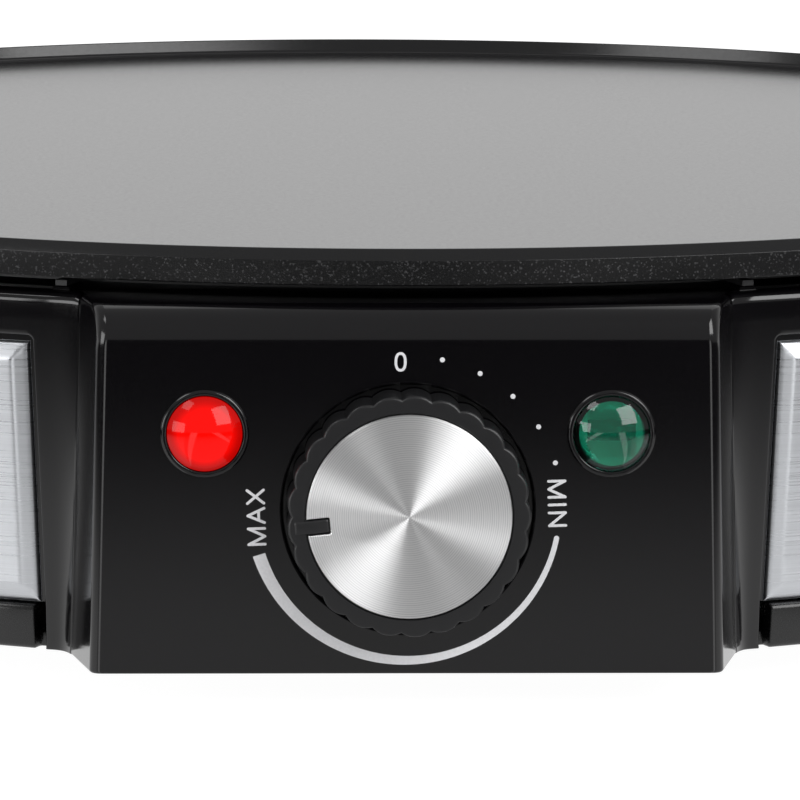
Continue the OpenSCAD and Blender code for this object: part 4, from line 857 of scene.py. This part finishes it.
def dots_on_dial(tree, given):
    """Points on the dial's circle, evenly spaced clockwise from the first."""
    number = add(tree, "GeometryNodeInputIndex")
    turn = add(tree, "ShaderNodeMath", {0: number, 1: given["Step"], 2: given["First angle"]},
               operation="MULTIPLY_ADD")
    across = add(tree, "ShaderNodeMath", {0: turn}, operation="SINE")
    up = add(tree, "ShaderNodeMath", {0: turn}, operation="COSINE")
    spoke = add(tree, "ShaderNodeCombineXYZ", {"X": across, "Z": up})
    reach = add(tree, "ShaderNodeVectorMath", {0: spoke, "Scale": given["Radius"]}, operation="SCALE")
    dot = add(tree, "ShaderNodeVectorMath", {0: reach, 1: place(0, face_y, knob_z)}, operation="ADD")
    spots = add(tree, "GeometryNodePoints", {"Count": given["Count"], "Position": dot})
    return add(tree, "GeometryNodeInstanceOnPoints", {"Points": spots, "Instance": given["Unit"]})


dot = spun([(0, 0.01), (0.37, 0.01), (0.37, -ink_t), (0, -ink_t)], 0, 0, 24)
dots = piece("dial_dots", centred(dot, face_y), ink)
repeated(dots, {"Count": 5, "First angle": radians(12.6), "Step": radians(14.95), "Radius": 0.02265},
         dots_on_dial, ink)
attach(dots, "root")


# ---------------- knob
# Moulded grip with 25 shallow lobes, a raised pointer bar and a D-shaped bore that takes the
# thermostat's shaft. It turns 264 degrees from MAX back to 0.

# Black phenolic grip: satin, greyer than the panel, with a fine grain of about 0.2 mm.
phenolic = mottled("satin_black_phenolic", {"Base Color": "#101012", "Roughness": 0.38, "IOR": 1.5},
                   4000.0, 2.0, rough=(0.32, 0.42), bump=(0.2, 0.00002))

knob_r, knob_front, cap_seat, web_back, knob_rear, edge_r = 17.85, -7.2, -6.5, -4.9, 0.8, 0.45


def off_axis(tree, spot, x, z):
    """Vector and distance to a spot from an axis square to the panel's face; x and z are in millimetres."""
    spoke = add(tree, "ShaderNodeVectorMath", {0: spot, 1: place(x, 0, z)}, operation="SUBTRACT")
    spoke = add(tree, "ShaderNodeVectorMath", {0: spoke, 1: (1, 0, 1)}, operation="MULTIPLY")
    return spoke, add(tree, "ShaderNodeVectorMath", {0: spoke}, operation="LENGTH").outputs["Value"]


def lobed_grip(tree, given):
    """Pulls the turned grip in between lobes: each lobe is an arc, and they meet in a sharp notch."""
    spoke, radius = off_axis(tree, add(tree, "GeometryNodeInputPosition"), 0, knob_z)
    axes = add(tree, "ShaderNodeSeparateXYZ", {0: spoke}).outputs
    share = add(tree, "ShaderNodeMapRange", {0: radius, 1: 0.0152, 2: 0.0163})
    known = {"x": axes["X"], "z": axes["Z"], "radius": radius, "share": share,
             "grip": given["Grip radius"], "lobes": given["Lobes"], "depth": given["Notch depth"]}
    # name, operation, and inputs that are numbers or names: the lobe's arc, then the edge on it at this angle
    for name, operation, *inputs in (
            ("pitch", "DIVIDE", tau, "lobes"), ("half", "MULTIPLY", "pitch", 0.5),
            ("angle", "ARCTAN2", "z", "x"), ("turn", "PINGPONG", "angle", "half"),
            ("notch", "SUBTRACT", "grip", "depth"),
            ("half_sin", "SINE", "half"), ("half_cos", "COSINE", "half"),
            ("chord", "MULTIPLY", "notch", "half_sin"), ("inner", "MULTIPLY", "notch", "half_cos"),
            ("rise", "SUBTRACT", "grip", "inner"), ("chord_2", "MULTIPLY", "chord", "chord"),
            ("rise_2", "MULTIPLY", "rise", "rise"), ("sum", "ADD", "chord_2", "rise_2"),
            ("double", "MULTIPLY", "rise", 2.0), ("arc", "DIVIDE", "sum", "double"),
            ("centre", "SUBTRACT", "grip", "arc"), ("sine", "SINE", "turn"), ("cosine", "COSINE", "turn"),
            ("side", "MULTIPLY", "centre", "sine"), ("arc_2", "MULTIPLY", "arc", "arc"),
            ("side_2", "MULTIPLY", "side", "side"),
            ("left", "SUBTRACT", "arc_2", "side_2"), ("root", "SQRT", "left"),
            ("ahead", "MULTIPLY", "centre", "cosine"), ("edge", "ADD", "ahead", "root"),
            ("deep", "SUBTRACT", "grip", "edge"), ("shared", "MULTIPLY", "deep", "share"),
            ("reach", "MAXIMUM", "radius", 0.001), ("pull", "DIVIDE", "shared", "reach"),
            ("inward", "MULTIPLY", "pull", -1.0)):
        sockets = {i: known.get(value, value) for i, value in enumerate(inputs)}
        known[name] = add(tree, "ShaderNodeMath", sockets, operation=operation)
    move = add(tree, "ShaderNodeVectorMath", {0: spoke, "Scale": known["inward"]}, operation="SCALE")
    return add(tree, "GeometryNodeSetPosition", {"Geometry": given["Unit"], "Offset": move})


outline = [(0, cap_seat), (15.25, cap_seat), (15.25, knob_front + 0.12), (15.37, knob_front),
           (16.3, knob_front)]
outline += [(knob_r - edge_r + edge_r * s, knob_front + edge_r - edge_r * c) for s, c in quarter(7)]
outline += [(knob_r, -3), (knob_r, knob_rear - 0.4), (knob_r - 0.4, knob_rear), (15.2, knob_rear),
            (15.0, web_back), (5.4, web_back), (5.2, knob_rear), (0, knob_rear)]
knob = piece("knob_grip", spun(outline, 0, knob_z, 400), phenolic)
bore = [(3.05 * cos(t), min(3.05 * sin(t), 2.25)) for t in round_turn(64)[:-1]]
core = [[(x, face_y + s, knob_z + z) for x, z in bore] for s in (web_back - 0.4, knob_rear + 1)]
cut(knob, joined(core, True))
repeated(knob, {"Lobes": 25, "Grip radius": knob_r / 1000, "Notch depth": 0.0006}, lobed_grip, phenolic)
smooth(knob.data)
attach(knob, "knob")
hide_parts("knob")

way = radians(264)


def on_knob(x, y, s):
    """Place from its distance along the pointer's direction and beside it, and its depth behind the face."""
    return x * sin(way) + y * cos(way), face_y + s, knob_z + x * cos(way) - y * sin(way)


# The pointer: a bar across the rim at the 264 degree mark, its long edges rounded.
bar = []
for lift, inset in ((cap_seat + 0.1 - knob_front, 0), (0.35, 0), (0.15, 0.02), (-0.05, 0.12), (-0.15, 0.35)):
    near, far, w = 11.7 + inset, 16.9 - inset, 1.05 - inset
    bar.append([on_knob(x, y, knob_front + lift) for x, y in rounded(
        [(near, -w, 0.25), (far, -w, 0.25), (far, w, 0.25), (near, w, 0.25)], 4)])
pointer = piece("pointer_bar", joined(bar, True), phenolic, 50)
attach(pointer, "knob")


# ---------------- knob cap
# Disc of turned aluminium pressed into the knob's pocket, with a notch through which the
# pointer bar comes.

# Aluminium faced on a lathe: a turning line every 0.32 mm, so light fans out from the centre.
spin, tree, shader = finish("turned_aluminium", {
    "Base Color": "#ebebed", "Metallic": 1.0, "Roughness": 0.48, "Anisotropic": 1.0})
spoke, reach = off_axis(tree, add(tree, "ShaderNodeTexCoord").outputs["Object"], 0, knob_z)
outward = add(tree, "ShaderNodeVectorMath", {0: spoke}, operation="NORMALIZE")
grain = add(tree, "ShaderNodeVectorTransform", {0: outward},
            vector_type="VECTOR", convert_from="OBJECT", convert_to="WORLD")
tree.links.new(grain.outputs[0], shader.inputs["Tangent"])
phase = add(tree, "ShaderNodeMath", {0: reach, 1: tau / 0.00032}, operation="MULTIPLY")
wave = add(tree, "ShaderNodeMath", {0: phase}, operation="SINE")
steady = add(tree, "ShaderNodeCombineXYZ", {"X": reach})
uneven = add(tree, "ShaderNodeTexNoise", {"Vector": steady, "Scale": 5200.0, "Detail": 2.0})
line = add(tree, "ShaderNodeMath", {0: wave, 1: 0.36, 2: uneven}, operation="MULTIPLY_ADD")
tone = add(tree, "ShaderNodeMapRange", {0: line, 1: 0.1, 2: 0.9})
vary(tree, shader, tone, tones=("#e6e6e7", "#ffffff"))
vary(tree, shader, line, bump=(0.15, 0.00003))

cap_r, cap_edge, cap_front, notch_r = 15, 0.25, -7.25, 0.3


def cap_ring(inset, s):
    """Outline of the cap pulled in by an inset: a circle with a round-cornered notch for the pointer."""
    r, half, floor = cap_r - inset, 1.17 + inset, 11.58 - inset
    gap = asin(half / r)
    ring = [(r * cos(t), r * sin(t)) for t in (gap + (tau - 2 * gap) * k / 240 for k in range(241))]
    ring += [(floor + notch_r - notch_r * a, -half + notch_r - notch_r * b) for a, b in quarter(4)]
    ring += [(floor + notch_r - notch_r * b, half - notch_r + notch_r * a) for a, b in quarter(4)]
    return [on_knob(x, y, s) for x, y in ring]


rings = [cap_ring(0, cap_seat)]
rings += [cap_ring(cap_edge * (1 - c), cap_front - cap_edge * s) for s, c in quarter(4)]
cap = piece("cap", joined(rings, True), spin)
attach(cap, "knob")
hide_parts("knob_cap")


# ---------------- pilot lights
# Two round indicators: a black rim moulded with a barrel, a domed lens snapped into it, and
# behind each a neon lamp in a white holder. Red shows mains, green shows temperature.

glossy_rims = softened("lamp_rims", "light_rims", gloss_black, 0.12)
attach(glossy_rims, "root")
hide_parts("lamp_rims")

# Red acrylic lit from behind: saturated red that glows hardest in front of the lamp and sinks at its rim.
red, tree, shader = finish("lit_red_acrylic", {
    "Base Color": "#800200", "Roughness": 0.08, "IOR": 1.49, "Specular IOR Level": 0.2,
    "Emission Color": (1.0, 0.002, 0.001, 1)})
spoke, reach = off_axis(tree, add(tree, "ShaderNodeTexCoord").outputs["Object"], -lamp_x, lamp_z)
fall = add(tree, "ShaderNodeMapRange", {0: reach, 1: 0.0030, 2: 0.0054, 3: 1.0, 4: 0.3},
           interpolation_type="SMOOTHSTEP")
tree.links.new(fall.outputs[0], shader.inputs["Emission Strength"])

# Green acrylic, unlit: clear dark teal through which the white holder shows as a dim square.
green = mottled("green_acrylic", {
    "Base Color": "#3fb6a0", "Roughness": 0.04, "IOR": 1.49, "Transmission Weight": 1.0},
    600.0, 1.0, rough=(0.03, 0.06))

lens_r, dome_h, lens_front = 5.5, 2.4, -3.0
dome_r = (lens_r * lens_r + dome_h * dome_h) / (2 * dome_h)
dome = [(r, dome_r + lens_front - sqrt(dome_r * dome_r - r * r))
        for r in (lens_r * k / 24 for k in range(25))]
dome += [(5.5, 5.9), (5.4, 6), (4.7, 6), (4.6, 5.9), (4.6, -0.2), (4.4, -0.4), (0, -0.4)]
for name, node, side, material, slot in (("red_lens_dome", "red_lens", -1, red, "red_lens"),
                                         ("green_lens_dome", "green_lens", 1, green, "green_lens")):
    lens_dome = piece(name, spun(dome, side * lamp_x, lamp_z), material, 35)
    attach(lens_dome, "root")
    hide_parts(node)

# White nylon of the holders, the terminal block and the cord clamp: slightly warm, satin.
nylon = mottled("white_nylon", {"Base Color": "#e4e1d8", "Roughness": 0.45, "IOR": 1.53}, 400.0, 3.0,
                tones=("#dcd8cd", "#ebe9e2"))
dress(nylon, "lamp_holders", "terminal_block", "cord_clamp")

# Thin soda glass of the neon lamps, faintly smoked inside by the electrodes.
glass = mottled("neon_glass", {
    "Base Color": "#f2e9e2", "Roughness": 0.03, "IOR": 1.5, "Transmission Weight": 0.9},
    900.0, 2.0, tones=("#d8c6b8", "#f4efea"))
dress(glass, "neon_lamps")


# ---------------- thermostat, fuse and wiring
# Inside the base: a bimetal thermostat on the panel's bracket, a thermal fuse clipped to the
# shield's pan side, a terminal block, and the loom between them.

# Free-cutting brass: yellow, turned, tarnished a little in clouds.
brass = mottled("turned_brass", {"Metallic": 1.0, "Roughness": 0.28}, 500.0, 3.0,
                tones=("#a8843c", "#d0ad62"))
dress(brass, "thermostat_bush", "terminal_screws")

# Phosphor bronze spring strip: pinker and cleaner than the brass, rolled smooth.
bronze = mottled("phosphor_bronze", {"Base Color": "#c08a5c", "Metallic": 1.0, "Roughness": 0.25}, 800.0, 2.0,
                 rough=(0.2, 0.34))
dress(bronze, "contact_blades")

# Unglazed steatite: chalky cream ceramic of the thermostat's discs and pin and of the fuse's body.
steatite = mottled("steatite", {"Roughness": 0.7, "IOR": 1.55}, 1800.0, 4.0, tones=("#cfc7b6", "#e8e3d6"))
dress(steatite, "ceramic_stack", "adjusting_pin", "thermal_fuse")

# Silicone insulation: matt and soft; black for the lamps' and switched leads, red for live, blue for neutral.
for name, tones, nodes in (("black_silicone", ("#131314", "#1f1f20"), ("lead_switched", "lamp_leads")),
                           ("red_silicone", ("#7a120e", "#95201a"), ("lead_live", "lead_fused")),
                           ("blue_silicone", ("#123a78", "#1d4d95"), ("lead_neutral",))):
    dress(mottled(name, {"Roughness": 0.5, "IOR": 1.41}, 700.0, 3.0, tones=tones), *nodes)


# ---------------- cord inlet
# Rubber grommet snapped into a hole in the back of the wall, so that the mains cord doesn't
# chafe where it enters.

grommet = softened("cord_grommet", "inlet_grommet", rubber, 0.2)
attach(grommet, "root")
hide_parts("cord_grommet")
